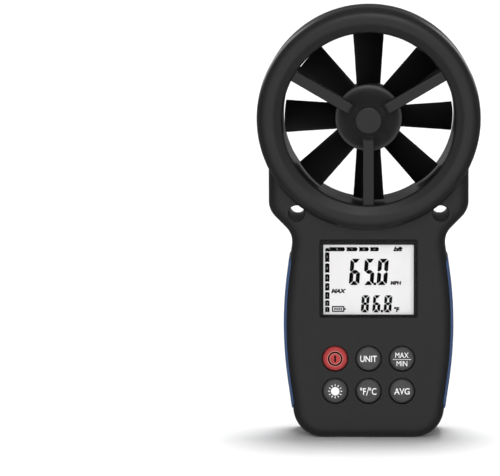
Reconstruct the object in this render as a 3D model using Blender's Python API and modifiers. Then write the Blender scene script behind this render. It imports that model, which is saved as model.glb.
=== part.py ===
"""Handheld vane weather meter: wind wheel in a ring, display, six keys, 9 V battery.

Frame: metres, +Z up, the display faces -Y, X = 0 is the plane of symmetry and
Z = 0 is the flat foot that the meter stands on.
"""
import math

import bmesh
import bpy
from mathutils import Matrix, Vector

MM = 0.001
RING_STEPS = 40             # facets round the wind ring
BORE_STEPS = 36             # facets round the bore it sits in
GAP = 0.3 * MM              # clearance between neighbouring pieces

# Overall size
HEIGHT = 165.0 * MM
DEPTH = 38.0 * MM
RING_R = 42.2 * MM          # outside of the rounded lip
FRONT_Y = -9.5 * MM         # flat front of the handle
BACK_Y = DEPTH / 2
CAP_Y = -DEPTH / 2          # tip of the nose, the frontmost point
PARTING_Y = 4.0 * MM        # where the two case halves meet
WALL = 2.4 * MM
RIM_ROUND = 5.0 * MM        # rounding of the handle's front and back rims

# Wind ring
AXIS_Z = HEIGHT - RING_R
DUCT_R = 32.7 * MM
DUCT_WALL = 1.8 * MM
CASE_RING_R = 41.9 * MM     # case barrel behind the lip
LIP_BACK_Y = FRONT_Y - GAP
LIP_CROWN_Y = -16.0 * MM
LIP_CROWN_R = 37.6 * MM
LIP_SIDE_Y = -11.0 * MM     # where the lip's outer curve ends in a straight side
LIP_WALL = 2.0 * MM
THROAT_Y = -7.4 * MM        # where the lip has curved into the straight duct
DUCT_BACK_Y = 16.5 * MM
SPOKE_W = 4.1 * MM
SPOKE_ANGLES = (30, 150, 270)
FRONT_ARM_HUB_Y = (-15.2 * MM, -9.5 * MM)
FRONT_ARM_RIM_Y = (-12.9 * MM, -8.5 * MM)
REAR_ARM_HUB_Y = (11.0 * MM, 16.0 * MM)
REAR_ARM_RIM_Y = (11.5 * MM, 16.0 * MM)

# Nose cone and cap
CONE_TOP_Y = -17.3 * MM
CONE_SHOULDER_Y = -16.6 * MM
CONE_TOP_R = 4.4 * MM
CONE_SHOULDER_R = 5.4 * MM
CONE_SOLID_Y = -10.4 * MM   # the cone is solid in front of this depth
CAP_R = 5.25 * MM
CAP_BACK_Y = -17.6 * MM
CAP_PIN_R = 2.2 * MM
CAP_PIN_Y = -14.9 * MM

# Rotor
BLADES = 8
BLADE_TIP_R = 31.9 * MM
HUB_R = 12.7 * MM
HUB_FRONT_Y = -4.1 * MM
HUB_BACK_Y = 6.8 * MM
HUB_WEB_Y = 4.4 * MM        # front of the hub's back wall
HUB_WALL = 1.6 * MM
HUB_CORE_R = 3.2 * MM
BLADE_MIDDLE_Y = 1.35 * MM
SHAFT_R = 1.0 * MM
SHAFT_Y = (-13.6 * MM, 12.6 * MM)

# Bearings, magnet and speed sensor
BEARING_R = 2.2 * MM
BEARING_SEAT_R = 2.5 * MM
FRONT_BEARING_Y = (-14.3 * MM, -11.7 * MM)
REAR_BEARING_Y = (10.2 * MM, 13.0 * MM)
BOSS_Y = (10.0 * MM, 17.0 * MM)
REAR_BOSS_R = 11.0 * MM
MAGNET_R = (5.0 * MM, 9.6 * MM)
MAGNET_Y = (7.1 * MM, 8.6 * MM)
SENSOR_HALF_W = 2.2 * MM
SENSOR_Y = (9.3 * MM, 11.2 * MM)
SENSOR_DROP = (5.4 * MM, 9.6 * MM)      # below the axis
LEAD_R = 0.5 * MM
LEAD_Y = 12.1 * MM
CHANNEL_HALF_W = 0.9 * MM
CHANNEL_BACK_Y = 13.0 * MM

# Handle outline: corner x, corner z, rounding radius of that corner
HANDLE_CORNERS = (
    (27.3 * MM, 0.0, 11.5 * MM),
    (33.3 * MM, 43.0 * MM, 150.0 * MM),
    (28.65 * MM, 78.1 * MM, 7.7 * MM),
    (37.9 * MM, 87.6 * MM, 8.2 * MM),
    (37.9 * MM, 106.0 * MM, 0.0),
)
STRAP_HOLE = (27.3 * MM, 86.7 * MM)
STRAP_HOLE_R = 3.0 * MM
STRAP_TUBE_R = 4.6 * MM

# Side grips
GRIP_Z = (10.9 * MM, 69.9 * MM)
GRIP_Y = (-7.6 * MM, 12.5 * MM)
GRIP_PROUD = 0.45 * MM
GRIP_SINK = 1.0 * MM

# Display
SCREEN_Z = (47.7 * MM, 74.6 * MM)
SCREEN_HALF_W = 17.35 * MM
BEZEL_Z = (46.8 * MM, 76.6 * MM)
BEZEL_HALF_W = 18.5 * MM
BEZEL_DEPTH = 1.4 * MM
GLASS_THICK = 2.0 * MM
GLASS_MARGIN = 1.4 * MM
BACKLIGHT_THICK = 1.0 * MM
HOLDER_WALL = 1.8 * MM

# Keys
KEY_X = (-12.7 * MM, 0.0, 12.7 * MM)
KEY_ROWS_Z = (31.0 * MM, 18.5 * MM)
KEY_R = 4.83 * MM
KEY_HOLE_R = 5.35 * MM
KEY_FLANGE_R = 6.0 * MM
KEY_CROWN_Y = FRONT_Y - 0.3 * MM
KEY_CROWN_R = 3.6 * MM
KEY_STEM_R = 1.5 * MM
KEY_STEM_END_Y = -4.65 * MM
KEY_FLANGE_THICK = 0.8 * MM
MAT_FRONT_Y = -4.9 * MM
MAT_HALF_W = 19.0 * MM
MAT_HOLE_R = 2.5 * MM
DOME_R = (2.1 * MM, 1.2 * MM)
DOME_FRONT_Y = -3.55 * MM
KEY_NAMES = (("power", "unit", "max_min"), ("backlight", "temp_unit", "average"))

# Electronics, front to back
BOARD_Y = (-2.9 * MM, -1.3 * MM)
BOARD_Z = (16.6 * MM, 79.0 * MM)
BOARD_HALF_W = 24.5 * MM

# Parts on the back of the board: x limits, height, z limits
PROCESSOR = ((-16.0 * MM, -5.0 * MM), 1.5 * MM, (66.6 * MM, 77.2 * MM))
SIGNAL_CHIP = ((6.0 * MM, 11.0 * MM), 1.4 * MM, (67.0 * MM, 75.0 * MM))
CRYSTAL = ((13.5 * MM, 18.0 * MM), 2.6 * MM, (66.8 * MM, 76.8 * MM))
CAPACITOR = (-19.5 * MM, 57.5 * MM)
CAPACITOR_R = 2.5 * MM
CAPACITOR_HEIGHT = 5.4 * MM
TEMPERATURE_SENSOR = (12.0 * MM, 81.2 * MM)
TEMPERATURE_SENSOR_R = 1.3 * MM
TEMPERATURE_SENSOR_Y = (-0.4 * MM, 3.4 * MM)

# Battery and its door
BATTERY_HALF_W = 13.2 * MM
BATTERY_Y = (0.6 * MM, 16.4 * MM)
BATTERY_Z = (9.6 * MM, 56.0 * MM)
TERMINAL_X = 6.35 * MM
TERMINAL_R = (2.9 * MM, 3.6 * MM)
TERMINAL_HEIGHT = 2.0 * MM
SNAP_HALF = (12.0 * MM, 5.5 * MM)
SNAP_Z = (58.3 * MM, 61.0 * MM)
TRAY_WALL = 1.0 * MM
TRAY_FLOOR = 0.8 * MM
TRAY_TOP_ROOM = 5.6 * MM    # room above the battery for its snap connector
TRAY_POST = 4.4 * MM        # solid end that the door screw bites into
DOOR_HALF_W = 16.5 * MM
DOOR_Z = (7.4 * MM, 67.0 * MM)
DOOR_THICK = 2.0 * MM
DOOR_PIVOT_Y = BACK_Y - 0.1 * MM - DOOR_THICK / 2
DOOR_PIVOT_Z = DOOR_Z[0] + DOOR_THICK / 2
DOOR_SCREW_Z = 63.4 * MM
DOOR_SCREW_SEAT_Y = BACK_Y - 1.2 * MM
GROOVE_HALF_W = 9.0 * MM
GROOVE_Z = 22.4 * MM        # lowest of the door's grip grooves
GROOVE_PITCH = 3.0 * MM
GROOVE_WIDTH = 1.2 * MM
GROOVE_DEPTH = 0.6 * MM

# Case screws: x, z
CASE_SCREWS = {
    "bottom_left": (-21.5 * MM, 11.5 * MM),
    "bottom_right": (21.5 * MM, 11.5 * MM),
    "shoulder_left": (-33.4 * MM, 96.0 * MM),
    "shoulder_right": (33.4 * MM, 96.0 * MM),
    "ring_left": (-27.0 * MM, AXIS_Z + 27.0 * MM),
    "ring_right": (27.0 * MM, AXIS_Z + 27.0 * MM),
}
SCREW_SHANK_R = 1.0 * MM
SCREW_HEAD_R = 1.9 * MM
BOSS_R = 3.0 * MM
SCREW_SEAT_Y = 9.0 * MM     # bottom of the counterbore
CASE_SCREW_HEAD = 1.4 * MM
CASE_SCREW_SHANK = 9.5 * MM
DOOR_SCREW_HEAD = 0.8 * MM
DOOR_SCREW_SHANK = 4.0 * MM
FAR_BACK = 30.0 * MM        # beyond the back of everything, for cutters
FAR_FRONT = -30.0 * MM      # beyond the front of everything

for old in list(bpy.data.objects):
    bpy.data.objects.remove(old, do_unlink=True)

PARTS = bpy.data.collections.new("weather_meter")
CUTTERS = bpy.data.collections.new("weather_meter_cutters")
bpy.context.scene.collection.children.link(PARTS)
bpy.context.scene.collection.children.link(CUTTERS)


# ---------------------------------------------------------------- helpers

def material(name, colour, roughness, metallic=0.0, alpha=1.0):
    """A Principled material; every sub-part gets its own."""
    mat = bpy.data.materials.new(name)
    mat.use_nodes = True
    shader = mat.node_tree.nodes["Principled BSDF"]
    shader.inputs["Base Color"].default_value = (*colour, 1.0)
    shader.inputs["Roughness"].default_value = roughness
    shader.inputs["Metallic"].default_value = metallic
    shader.inputs["Alpha"].default_value = alpha
    mat.diffuse_color = (*colour, alpha)
    return mat


def to_mesh(name, bm):
    """Finish a bmesh as an object without a collection."""
    mesh = bpy.data.meshes.new(name)
    bmesh.ops.recalc_face_normals(bm, faces=bm.faces)
    bm.to_mesh(mesh)
    bm.free()
    return bpy.data.objects.new(name, mesh)


def part(obj, look, smooth=35):
    """Put an object among the parts, shaded smooth except at its sharp edges."""
    PARTS.objects.link(obj)
    colour, roughness, metallic = look[:3]
    alpha = look[3] if len(look) > 3 else 1.0
    obj.data.materials.append(material(obj.name, colour, roughness, metallic, alpha))
    if obj.type == "MESH":
        obj.data.shade_smooth()
        obj.data.set_sharp_from_angle(angle=math.radians(smooth))
    return obj


def cutter(obj):
    """Put an object among the hidden cutters and guides."""
    CUTTERS.objects.link(obj)
    obj.hide_render = True
    obj.display_type = "WIRE"
    return obj


def boolean(obj, other, operation="DIFFERENCE"):
    mod = obj.modifiers.new(f"{operation.lower()}_{other.name}"[:60], "BOOLEAN")
    mod.solver = "EXACT"
    mod.operation = operation
    mod.object = other
    return obj


def weld(obj):
    """Merge the coincident points that a long chain of cuts can leave."""
    mod = obj.modifiers.new("weld", "WELD")
    mod.merge_threshold = 0.00001
    return obj


def bevel(obj, width, segments=3, angle=40):
    mod = obj.modifiers.new("rounding", "BEVEL")
    mod.width = width
    mod.segments = segments
    mod.limit_method = "ANGLE"
    mod.angle_limit = math.radians(angle)
    mod.use_clamp_overlap = True
    return obj


def box(name, xs, ys, zs):
    """An axis-aligned box between the given limits."""
    bm = bmesh.new()
    bmesh.ops.create_cube(bm, size=1.0)
    low = Vector((xs[0], ys[0], zs[0]))
    high = Vector((xs[1], ys[1], zs[1]))
    bmesh.ops.scale(bm, vec=high - low, verts=bm.verts)
    obj = to_mesh(name, bm)
    obj.location = (low + high) / 2
    return obj


def rod(name, radius, ys, x=0.0, z=AXIS_Z, segments=24, end_radius=None):
    """A cylinder or cone along Y, with its origin in its middle."""
    bm = bmesh.new()
    last = radius if end_radius is None else end_radius
    bmesh.ops.create_cone(bm, cap_ends=True, segments=segments, radius1=last,
                          radius2=radius, depth=ys[1] - ys[0])
    for vert in bm.verts:
        vert.co = (vert.co.x, -vert.co.z, vert.co.y)
    obj = to_mesh(name, bm)
    obj.location = (x, (ys[0] + ys[1]) / 2, z)
    return obj


def arc(cx, cy, rx, ry, start, end, steps):
    """Points of an elliptic arc, angles in degrees."""
    points = []
    for i in range(steps + 1):
        a = math.radians(start + (end - start) * i / steps)
        points.append((cx + rx * math.cos(a), cy + ry * math.sin(a)))
    return points


def turned(name, profile, closed=True, steps=72):
    """A profile of (radius, y) points turned about the wind wheel's axis by a Screw modifier."""
    mesh = bpy.data.meshes.new(name)
    verts = [(r, y, 0.0) for r, y in profile]
    count = len(verts)
    edges = [(i, i + 1) for i in range(count - 1)]
    if closed:
        edges.append((count - 1, 0))
    mesh.from_pydata(verts, edges, [])
    obj = bpy.data.objects.new(name, mesh)
    obj.location = (0.0, 0.0, AXIS_Z)
    screw = obj.modifiers.new("turning", "SCREW")
    screw.axis = "Y"
    screw.steps = steps
    screw.render_steps = steps
    screw.use_merge_vertices = True
    screw.merge_threshold = 0.00001
    screw.use_normal_flip = True
    screw.use_smooth_shade = True
    return obj


def rounded(corners, arc_step=19):
    """Sample an open outline whose corners (x, z, radius) are rounded by tangent arcs."""
    points = [Vector(corners[0][:2])]
    for (ax, az, _), (bx, bz, radius), (cx, cz, _) in zip(corners, corners[1:], corners[2:]):
        corner = Vector((bx, bz))
        back = (Vector((ax, az)) - corner).normalized()
        ahead = (Vector((cx, cz)) - corner).normalized()
        if radius <= 0.0:
            points.append(corner)
            continue
        half = back.angle(ahead) / 2
        centre = corner + (back + ahead).normalized() * radius / math.sin(half)
        reach = radius / math.tan(half)
        first = corner + back * reach - centre
        turn = math.pi - 2 * half
        if back.cross(ahead) > 0:
            turn = -turn
        steps = max(2, math.ceil(abs(math.degrees(turn)) / arc_step))
        if radius > 50 * MM:
            steps = 6
        for i in range(steps + 1):
            points.append(centre + Matrix.Rotation(turn * i / steps, 2) @ first)
    points.append(Vector(corners[-1][:2]))
    return points


def handle_outline(inset=0.0):
    """The closed outline of handle and shoulders, moved inwards by inset."""
    half = rounded(((0.0, 0.0, 0.0),) + HANDLE_CORNERS + ((0.0, HANDLE_CORNERS[-1][1], 0.0),))
    right = half[1:-1]
    loop = right + [Vector((-p.x, p.y)) for p in reversed(right)]
    moved = []
    for i, point in enumerate(loop):
        before = (point - loop[i - 1]).normalized()
        after = (loop[(i + 1) % len(loop)] - point).normalized()
        normal = Vector((-(before + after).y, (before + after).x)).normalized()
        moved.append(point + normal * inset / max(0.3, normal.dot(Vector((-after.y, after.x)))))
    return moved


def prism(name, outline, ys):
    """An outline in the XZ plane drawn out along Y."""
    bm = bmesh.new()
    face = bm.faces.new([bm.verts.new((p[0], ys[0], p[1])) for p in outline])
    side = bmesh.ops.extrude_face_region(bm, geom=[face])
    moved = [v for v in side["geom"] if isinstance(v, bmesh.types.BMVert)]
    bmesh.ops.translate(bm, vec=(0.0, ys[1] - ys[0], 0.0), verts=moved)
    return to_mesh(name, bm)


def tube(name, points, radius, look):
    """A wire along the given points, as a bevelled poly curve with filled caps."""
    curve = bpy.data.curves.new(name, "CURVE")
    curve.dimensions = "3D"
    curve.bevel_depth = radius
    curve.bevel_resolution = 1
    curve.use_fill_caps = True
    spline = curve.splines.new("POLY")
    spline.points.add(len(points) - 1)
    for point, place in zip(spline.points, points):
        point.co = (*place, 1.0)
    return part(bpy.data.objects.new(name, curve), look)


# ------------------------------------------------- looks: colour, roughness, metallic, alpha

BLACK_ABS = ((0.033, 0.033, 0.035), 0.45, 0.0)
BLADE_BLACK = ((0.012, 0.012, 0.013), 0.5, 0.0)
GRIP_BLUE = ((0.03, 0.09, 0.22), 0.6, 0.0)
KEY_GREY = ((0.08, 0.08, 0.082), 0.55, 0.0)
KEY_RED = ((0.55, 0.04, 0.045), 0.5, 0.0)
STEEL = ((0.6, 0.6, 0.62), 0.3, 1.0)
BRASS = ((0.75, 0.55, 0.25), 0.3, 1.0)
CLEAR = ((0.9, 0.93, 0.95), 0.05, 0.0, 0.3)
SCREEN = ((0.86, 0.87, 0.86), 0.25, 0.0)
WHITE_ABS = ((0.8, 0.8, 0.8), 0.5, 0.0)
BOARD_GREEN = ((0.02, 0.16, 0.06), 0.4, 0.0)
CHIP_BLACK = ((0.02, 0.02, 0.02), 0.4, 0.0)
SILICONE = ((0.25, 0.25, 0.26), 0.7, 0.0)
MAGNET = ((0.2, 0.2, 0.21), 0.4, 1.0)
CELL = ((0.1, 0.1, 0.11), 0.35, 0.0)
WIRE_RED = ((0.6, 0.03, 0.03), 0.5, 0.0)
WIRE_BLACK = ((0.02, 0.02, 0.02), 0.5, 0.0)


# ---------------------------------------------------------------- master shapes

def handle_solid(name, inset, ys, rim):
    """Handle and shoulders as one block with rounded front and back rims."""
    solid = prism(name, handle_outline(inset), ys)
    return cutter(bevel(solid, rim, segments=2, angle=60))


def build_masters():
    """Outer form of the case and the hollow inside it."""
    outer = handle_solid("case_outer", 0.0, (FRONT_Y, BACK_Y), RIM_ROUND)
    barrel_front = FRONT_Y + GAP
    barrel_back = BACK_Y - GAP
    profile = [(20 * MM, barrel_front), (CASE_RING_R, barrel_front), (CASE_RING_R, PARTING_Y)]
    profile += arc(CASE_RING_R - 6.4 * MM, barrel_back - 6 * MM, 6 * MM, 6 * MM, 0, 90, 4)
    profile += [(20 * MM, barrel_back)]
    barrel = cutter(turned("case_barrel", profile, steps=RING_STEPS))
    boolean(outer, barrel, "UNION")

    hollow = handle_solid("case_hollow", WALL, (FRONT_Y + WALL, BACK_Y - WALL), RIM_ROUND - 2 * MM)
    room_y = (FRONT_Y + WALL + GAP, BACK_Y - 5.5 * MM)
    room = rod("ring_hollow", CASE_RING_R - 2 * MM, room_y, segments=RING_STEPS)
    boolean(hollow, cutter(room), "UNION")
    for sign, side in ((-1, "left"), (1, "right")):
        x = sign * STRAP_HOLE[0]
        sleeve = rod(f"strap_tube_{side}", STRAP_TUBE_R, (FAR_FRONT, FAR_BACK), x, STRAP_HOLE[1], 16)
        boolean(hollow, cutter(sleeve))
    for place, (x, z) in CASE_SCREWS.items():
        boss = rod(f"boss_{place}", BOSS_R, (FAR_FRONT, FAR_BACK), x, z, 16)
        boolean(hollow, cutter(boss))
    return outer, hollow


def shell_half(name, ys, outer, hollow):
    """One half of the case: the part of the shell between two depths."""
    half = box(name, (-60 * MM, 60 * MM), ys, (-5 * MM, 180 * MM))
    boolean(half, outer, "INTERSECT")
    boolean(half, hollow)
    bore_r = DUCT_R + DUCT_WALL + GAP
    boolean(half, cutter(rod(f"{name}_bore", bore_r, (FAR_FRONT, FAR_BACK), segments=BORE_STEPS)))
    for sign, side in ((-1, "left"), (1, "right")):
        x = sign * STRAP_HOLE[0]
        hole = rod(f"{name}_strap_{side}", STRAP_HOLE_R, (FAR_FRONT, FAR_BACK), x, STRAP_HOLE[1], 24)
        boolean(half, cutter(hole))
        boolean(half, grip_shape(f"{name}_grip_pocket_{side}", sign, GAP, GRIP_SINK + GAP))
    return half


def grip_shape(name, sign, margin, sink):
    """The skin of the handle's side that a grip covers, thickened outwards or cut inwards."""
    xs = sorted((sign * 20 * MM, sign * 45 * MM))
    ys = (GRIP_Y[0] - margin, GRIP_Y[1] + margin)
    zs = (GRIP_Z[0] - margin, GRIP_Z[1] + margin)
    slab = cutter(bevel(box(name, xs, ys, zs), 3 * MM, segments=3))
    core = handle_solid(f"{name}_core", sink, (FRONT_Y + sink, BACK_Y - sink), RIM_ROUND - sink)
    boolean(slab, core)
    return slab


def build_front_case(outer, hollow):
    half = shell_half("front_case", (FAR_FRONT, PARTING_Y - GAP / 2), outer, hollow)
    recess = box("bezel_recess", (-BEZEL_HALF_W, BEZEL_HALF_W), (FAR_FRONT, FRONT_Y + BEZEL_DEPTH), BEZEL_Z)
    boolean(half, cutter(bevel(recess, 0.8 * MM, segments=2)))
    through = (FAR_FRONT, FRONT_Y + 2 * WALL)
    window = box("screen_opening", (-SCREEN_HALF_W, SCREEN_HALF_W), through, SCREEN_Z)
    boolean(half, cutter(window))
    for z in KEY_ROWS_Z:
        for x in KEY_X:
            boolean(half, cutter(rod("key_hole", KEY_HOLE_R, through, x, z, 20)))
    for x, z in CASE_SCREWS.values():
        boolean(half, cutter(rod("pilot_hole", SCREW_SHANK_R + GAP, (-3 * MM, 6 * MM), x, z, 12)))
    return part(weld(half), BLACK_ABS)


def build_rear_case(outer, hollow):
    half = shell_half("rear_case", (PARTING_Y + GAP / 2, FAR_BACK), outer, hollow)
    opening = box("door_opening", (-DOOR_HALF_W - GAP, DOOR_HALF_W + GAP), (BACK_Y - 2 * WALL, FAR_BACK),
                  (DOOR_Z[0] - GAP, DOOR_Z[1] + GAP))
    boolean(half, cutter(opening))
    for x, z in CASE_SCREWS.values():
        boolean(half, cutter(rod("screw_hole", SCREW_SHANK_R + GAP, (0, FAR_BACK), x, z, 12)))
        boolean(half, cutter(rod("counterbore", SCREW_HEAD_R + GAP, (SCREW_SEAT_Y, FAR_BACK), x, z, 16)))
    return part(weld(half), BLACK_ABS)


# ---------------------------------------------------------------- wind ring

def spoke(name, angle, ys_hub, ys_rim, reach):
    """One straight arm from the hub to the duct wall; its depth may change along its length."""
    bm = bmesh.new()
    corners = []
    for r, (y0, y1) in ((reach[0], ys_hub), (reach[1], ys_rim)):
        for t, y in ((-1, y0), (1, y0), (1, y1), (-1, y1)):
            corners.append(bm.verts.new((r, y, t * SPOKE_W / 2)))
    bmesh.ops.convex_hull(bm, input=corners)
    bmesh.ops.rotate(bm, matrix=Matrix.Rotation(-math.radians(angle), 3, "Y"), verts=bm.verts)
    obj = to_mesh(name, bm)
    obj.location = (0.0, 0.0, AXIS_Z)
    return cutter(bevel(obj, 0.5 * MM, segments=1))


def build_vane_ring_front():
    """Rounded lip, front half of the duct, three arms and the fixed nose cone."""
    inner_r = DUCT_R + DUCT_WALL
    curl_r = LIP_CROWN_R - 0.6 * MM
    profile = arc(LIP_CROWN_R, LIP_SIDE_Y, RING_R - LIP_CROWN_R, LIP_SIDE_Y - LIP_CROWN_Y, -90, 0, 5)
    profile += [(RING_R, LIP_BACK_Y), (RING_R - LIP_WALL, LIP_BACK_Y)]
    profile += [(RING_R - LIP_WALL, LIP_SIDE_Y - 0.5 * MM), (LIP_CROWN_R, LIP_CROWN_Y + LIP_WALL)]
    profile += [(inner_r, LIP_SIDE_Y), (inner_r, PARTING_Y - GAP / 2), (DUCT_R, PARTING_Y - GAP / 2)]
    profile += arc(curl_r, THROAT_Y, curl_r - DUCT_R, THROAT_Y - LIP_CROWN_Y, 180, 264, 4)
    ring = turned("vane_ring_front", profile, steps=RING_STEPS)
    for angle in SPOKE_ANGLES:
        arm = spoke(f"front_arm_{angle}", angle, FRONT_ARM_HUB_Y, FRONT_ARM_RIM_Y,
                    (CONE_TOP_R, DUCT_R + 1.5 * MM))
        boolean(ring, arm, "UNION")
    cone = [(0.0, CONE_TOP_Y), (CONE_TOP_R, CONE_TOP_Y), (CONE_SHOULDER_R, CONE_SHOULDER_Y)]
    flare_r = HUB_R + 1.3 * MM
    flare_y = CONE_SHOULDER_Y + 0.2 * MM
    cone += arc(flare_r, flare_y, CONE_SHOULDER_R + 0.2 * MM - flare_r, HUB_FRONT_Y - flare_y - 0.5 * MM,
                0, 80, 6)[1:]
    cone += [(HUB_R - 0.1 * MM, HUB_FRONT_Y - GAP), (HUB_R - HUB_WALL - 0.1 * MM, HUB_FRONT_Y - GAP)]
    cone += [(CONE_TOP_R, CONE_SOLID_Y), (0.0, CONE_SOLID_Y)]
    nose = cutter(turned("nose_cone", cone, closed=False, steps=36))
    boolean(ring, nose, "UNION")
    seat_y = (FAR_FRONT, FRONT_BEARING_Y[1] + GAP)
    boolean(ring, cutter(rod("front_bearing_seat", BEARING_SEAT_R, seat_y, segments=24)))
    hole_y = (FAR_FRONT, HUB_FRONT_Y)
    boolean(ring, cutter(rod("front_shaft_hole", SHAFT_R + GAP, hole_y, segments=20)))
    return part(weld(ring), BLACK_ABS)


def build_vane_ring_rear():
    """Rear half of the duct with three arms, and the boss that carries the rear bearing."""
    inner_r = DUCT_R + DUCT_WALL
    rim_y = BACK_Y - 0.4 * MM
    profile = [(DUCT_R, PARTING_Y + GAP / 2), (inner_r, PARTING_Y + GAP / 2), (inner_r, rim_y)]
    profile += arc(inner_r, DUCT_BACK_Y, -DUCT_WALL, rim_y - DUCT_BACK_Y, 78, 0, 4)
    ring = turned("vane_ring_rear", profile, steps=RING_STEPS)
    for angle in SPOKE_ANGLES:
        arm = spoke(f"rear_arm_{angle}", angle, REAR_ARM_HUB_Y, REAR_ARM_RIM_Y,
                    (3 * MM, DUCT_R + 0.9 * MM))
        boolean(ring, arm, "UNION")
    edge = REAR_BOSS_R - 0.5 * MM
    boss = [(0.0, BOSS_Y[0]), (edge, BOSS_Y[0]), (REAR_BOSS_R, BOSS_Y[0] + 0.5 * MM)]
    boss += [(REAR_BOSS_R, BOSS_Y[1] - 2 * MM), (edge - MM, BOSS_Y[1] - 0.4 * MM), (0.0, BOSS_Y[1])]
    boolean(ring, cutter(turned("rear_boss", boss, closed=False, steps=36)), "UNION")
    seat_y = (HUB_BACK_Y, REAR_BEARING_Y[1] + 0.4 * MM)
    boolean(ring, cutter(rod("rear_bearing_seat", BEARING_SEAT_R, seat_y, segments=24)))
    pocket_x = (-SENSOR_HALF_W - 0.4 * MM, SENSOR_HALF_W + 0.4 * MM)
    pocket_z = (AXIS_Z - SENSOR_DROP[1] - 0.4 * MM, AXIS_Z - SENSOR_DROP[0] + 0.4 * MM)
    boolean(ring, cutter(box("sensor_pocket", pocket_x, (HUB_BACK_Y, CHANNEL_BACK_Y), pocket_z)))
    channel_x = (-CHANNEL_HALF_W, CHANNEL_HALF_W)
    channel_z = (AXIS_Z - DUCT_R + 1.7 * MM, AXIS_Z - SENSOR_DROP[1] + 0.6 * MM)
    boolean(ring, cutter(box("lead_channel", channel_x, (HUB_BACK_Y, CHANNEL_BACK_Y), channel_z)))
    exit_y = (CHANNEL_BACK_Y - 2 * CHANNEL_HALF_W, CHANNEL_BACK_Y)
    exit_z = (AXIS_Z - CASE_RING_R, channel_z[0] + MM)
    boolean(ring, cutter(box("lead_exit", channel_x, exit_y, exit_z)))
    return part(weld(ring), BLACK_ABS)


def build_nose_cap():
    profile = [(0.0, CAP_Y), (CAP_R - 0.7 * MM, CAP_Y), (CAP_R - 0.2 * MM, CAP_Y + 0.2 * MM)]
    profile += [(CAP_R, CAP_Y + 0.6 * MM), (CAP_R, CAP_BACK_Y), (CAP_PIN_R, CAP_BACK_Y)]
    profile += [(CAP_PIN_R, CAP_PIN_Y), (0.0, CAP_PIN_Y)]
    return part(turned("nose_cap", profile, closed=False, steps=32), BLACK_ABS)


# ---------------------------------------------------------------- rotor

def blade(index):
    """One pitched blade: a thin skewed plate lofted from root to tip."""
    stations, chordwise = 4, 4
    root_r = HUB_R - 1.2 * MM
    bm = bmesh.new()
    rings = []
    for i in range(stations + 1):
        s = i / stations
        r = root_r + (BLADE_TIP_R - root_r) * s
        half_w = (4.5 + 1.35 * s) * MM
        rise = (4.5 - 0.5 * s) * MM
        thick = (0.7 - 0.3 * s) * MM
        ring = []
        for side, steps in ((-1, range(chordwise + 1)), (1, range(chordwise, -1, -1))):
            for j in steps:
                u = 2 * j / chordwise - 1
                belly = (1 - u * u) * 0.5 * MM
                across = u * half_w
                skin = side * thick * (1.05 - 0.6 * u * u)
                back = BLADE_MIDDLE_Y + u * rise - belly + skin
                tip_r = math.sqrt(max(r * r - across * across, 0.0)) if i == stations else r
                ring.append(bm.verts.new((across, back, tip_r)))
        rings.append(ring)
    count = len(rings[0])
    for low, high in zip(rings, rings[1:]):
        for j in range(count):
            bm.faces.new((low[j], low[(j + 1) % count], high[(j + 1) % count], high[j]))
    bm.faces.new(list(reversed(rings[0])))
    bm.faces.new(rings[-1])
    bmesh.ops.triangulate(bm, faces=bm.faces)
    turn = Matrix.Rotation(2 * math.pi * index / BLADES, 3, "Y")
    bmesh.ops.rotate(bm, matrix=turn, verts=bm.verts)
    obj = to_mesh(f"blade_{index + 1}", bm)
    obj.location = (0.0, 0.0, AXIS_Z)
    return cutter(obj)


def build_impeller():
    core_front = HUB_FRONT_Y + 3 * MM
    rim_inner_r = HUB_R - HUB_WALL
    profile = [(SHAFT_R + GAP, core_front), (HUB_CORE_R, core_front), (HUB_CORE_R, HUB_WEB_Y)]
    profile += [(rim_inner_r, HUB_WEB_Y), (rim_inner_r, HUB_FRONT_Y)]
    profile += [(HUB_R, HUB_FRONT_Y), (HUB_R, HUB_BACK_Y), (SHAFT_R + GAP, HUB_BACK_Y)]
    hub = turned("impeller", profile, steps=32)
    for index in range(BLADES):
        boolean(hub, blade(index), "UNION")
    return part(hub, BLADE_BLACK, smooth=30)


def build_rotor_core():
    part(rod("rotor_shaft", SHAFT_R, SHAFT_Y, segments=20), STEEL)
    for name, ys in (("front_bearing", FRONT_BEARING_Y), ("rear_bearing", REAR_BEARING_Y)):
        inner = SHAFT_R + GAP
        profile = [(inner, ys[0]), (BEARING_R, ys[0]), (BEARING_R, ys[1]), (inner, ys[1])]
        part(turned(name, profile, steps=16), BRASS)
    disc = [(MAGNET_R[0], MAGNET_Y[0]), (MAGNET_R[1], MAGNET_Y[0])]
    disc += [(MAGNET_R[1], MAGNET_Y[1]), (MAGNET_R[0], MAGNET_Y[1])]
    part(turned("rotor_magnet", disc, steps=24), MAGNET)
    drop = (AXIS_Z - SENSOR_DROP[1], AXIS_Z - SENSOR_DROP[0])
    part(box("speed_sensor", (-SENSOR_HALF_W, SENSOR_HALF_W), SENSOR_Y, drop), CHIP_BLACK)


# ---------------------------------------------------------------- display, keys, board

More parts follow.
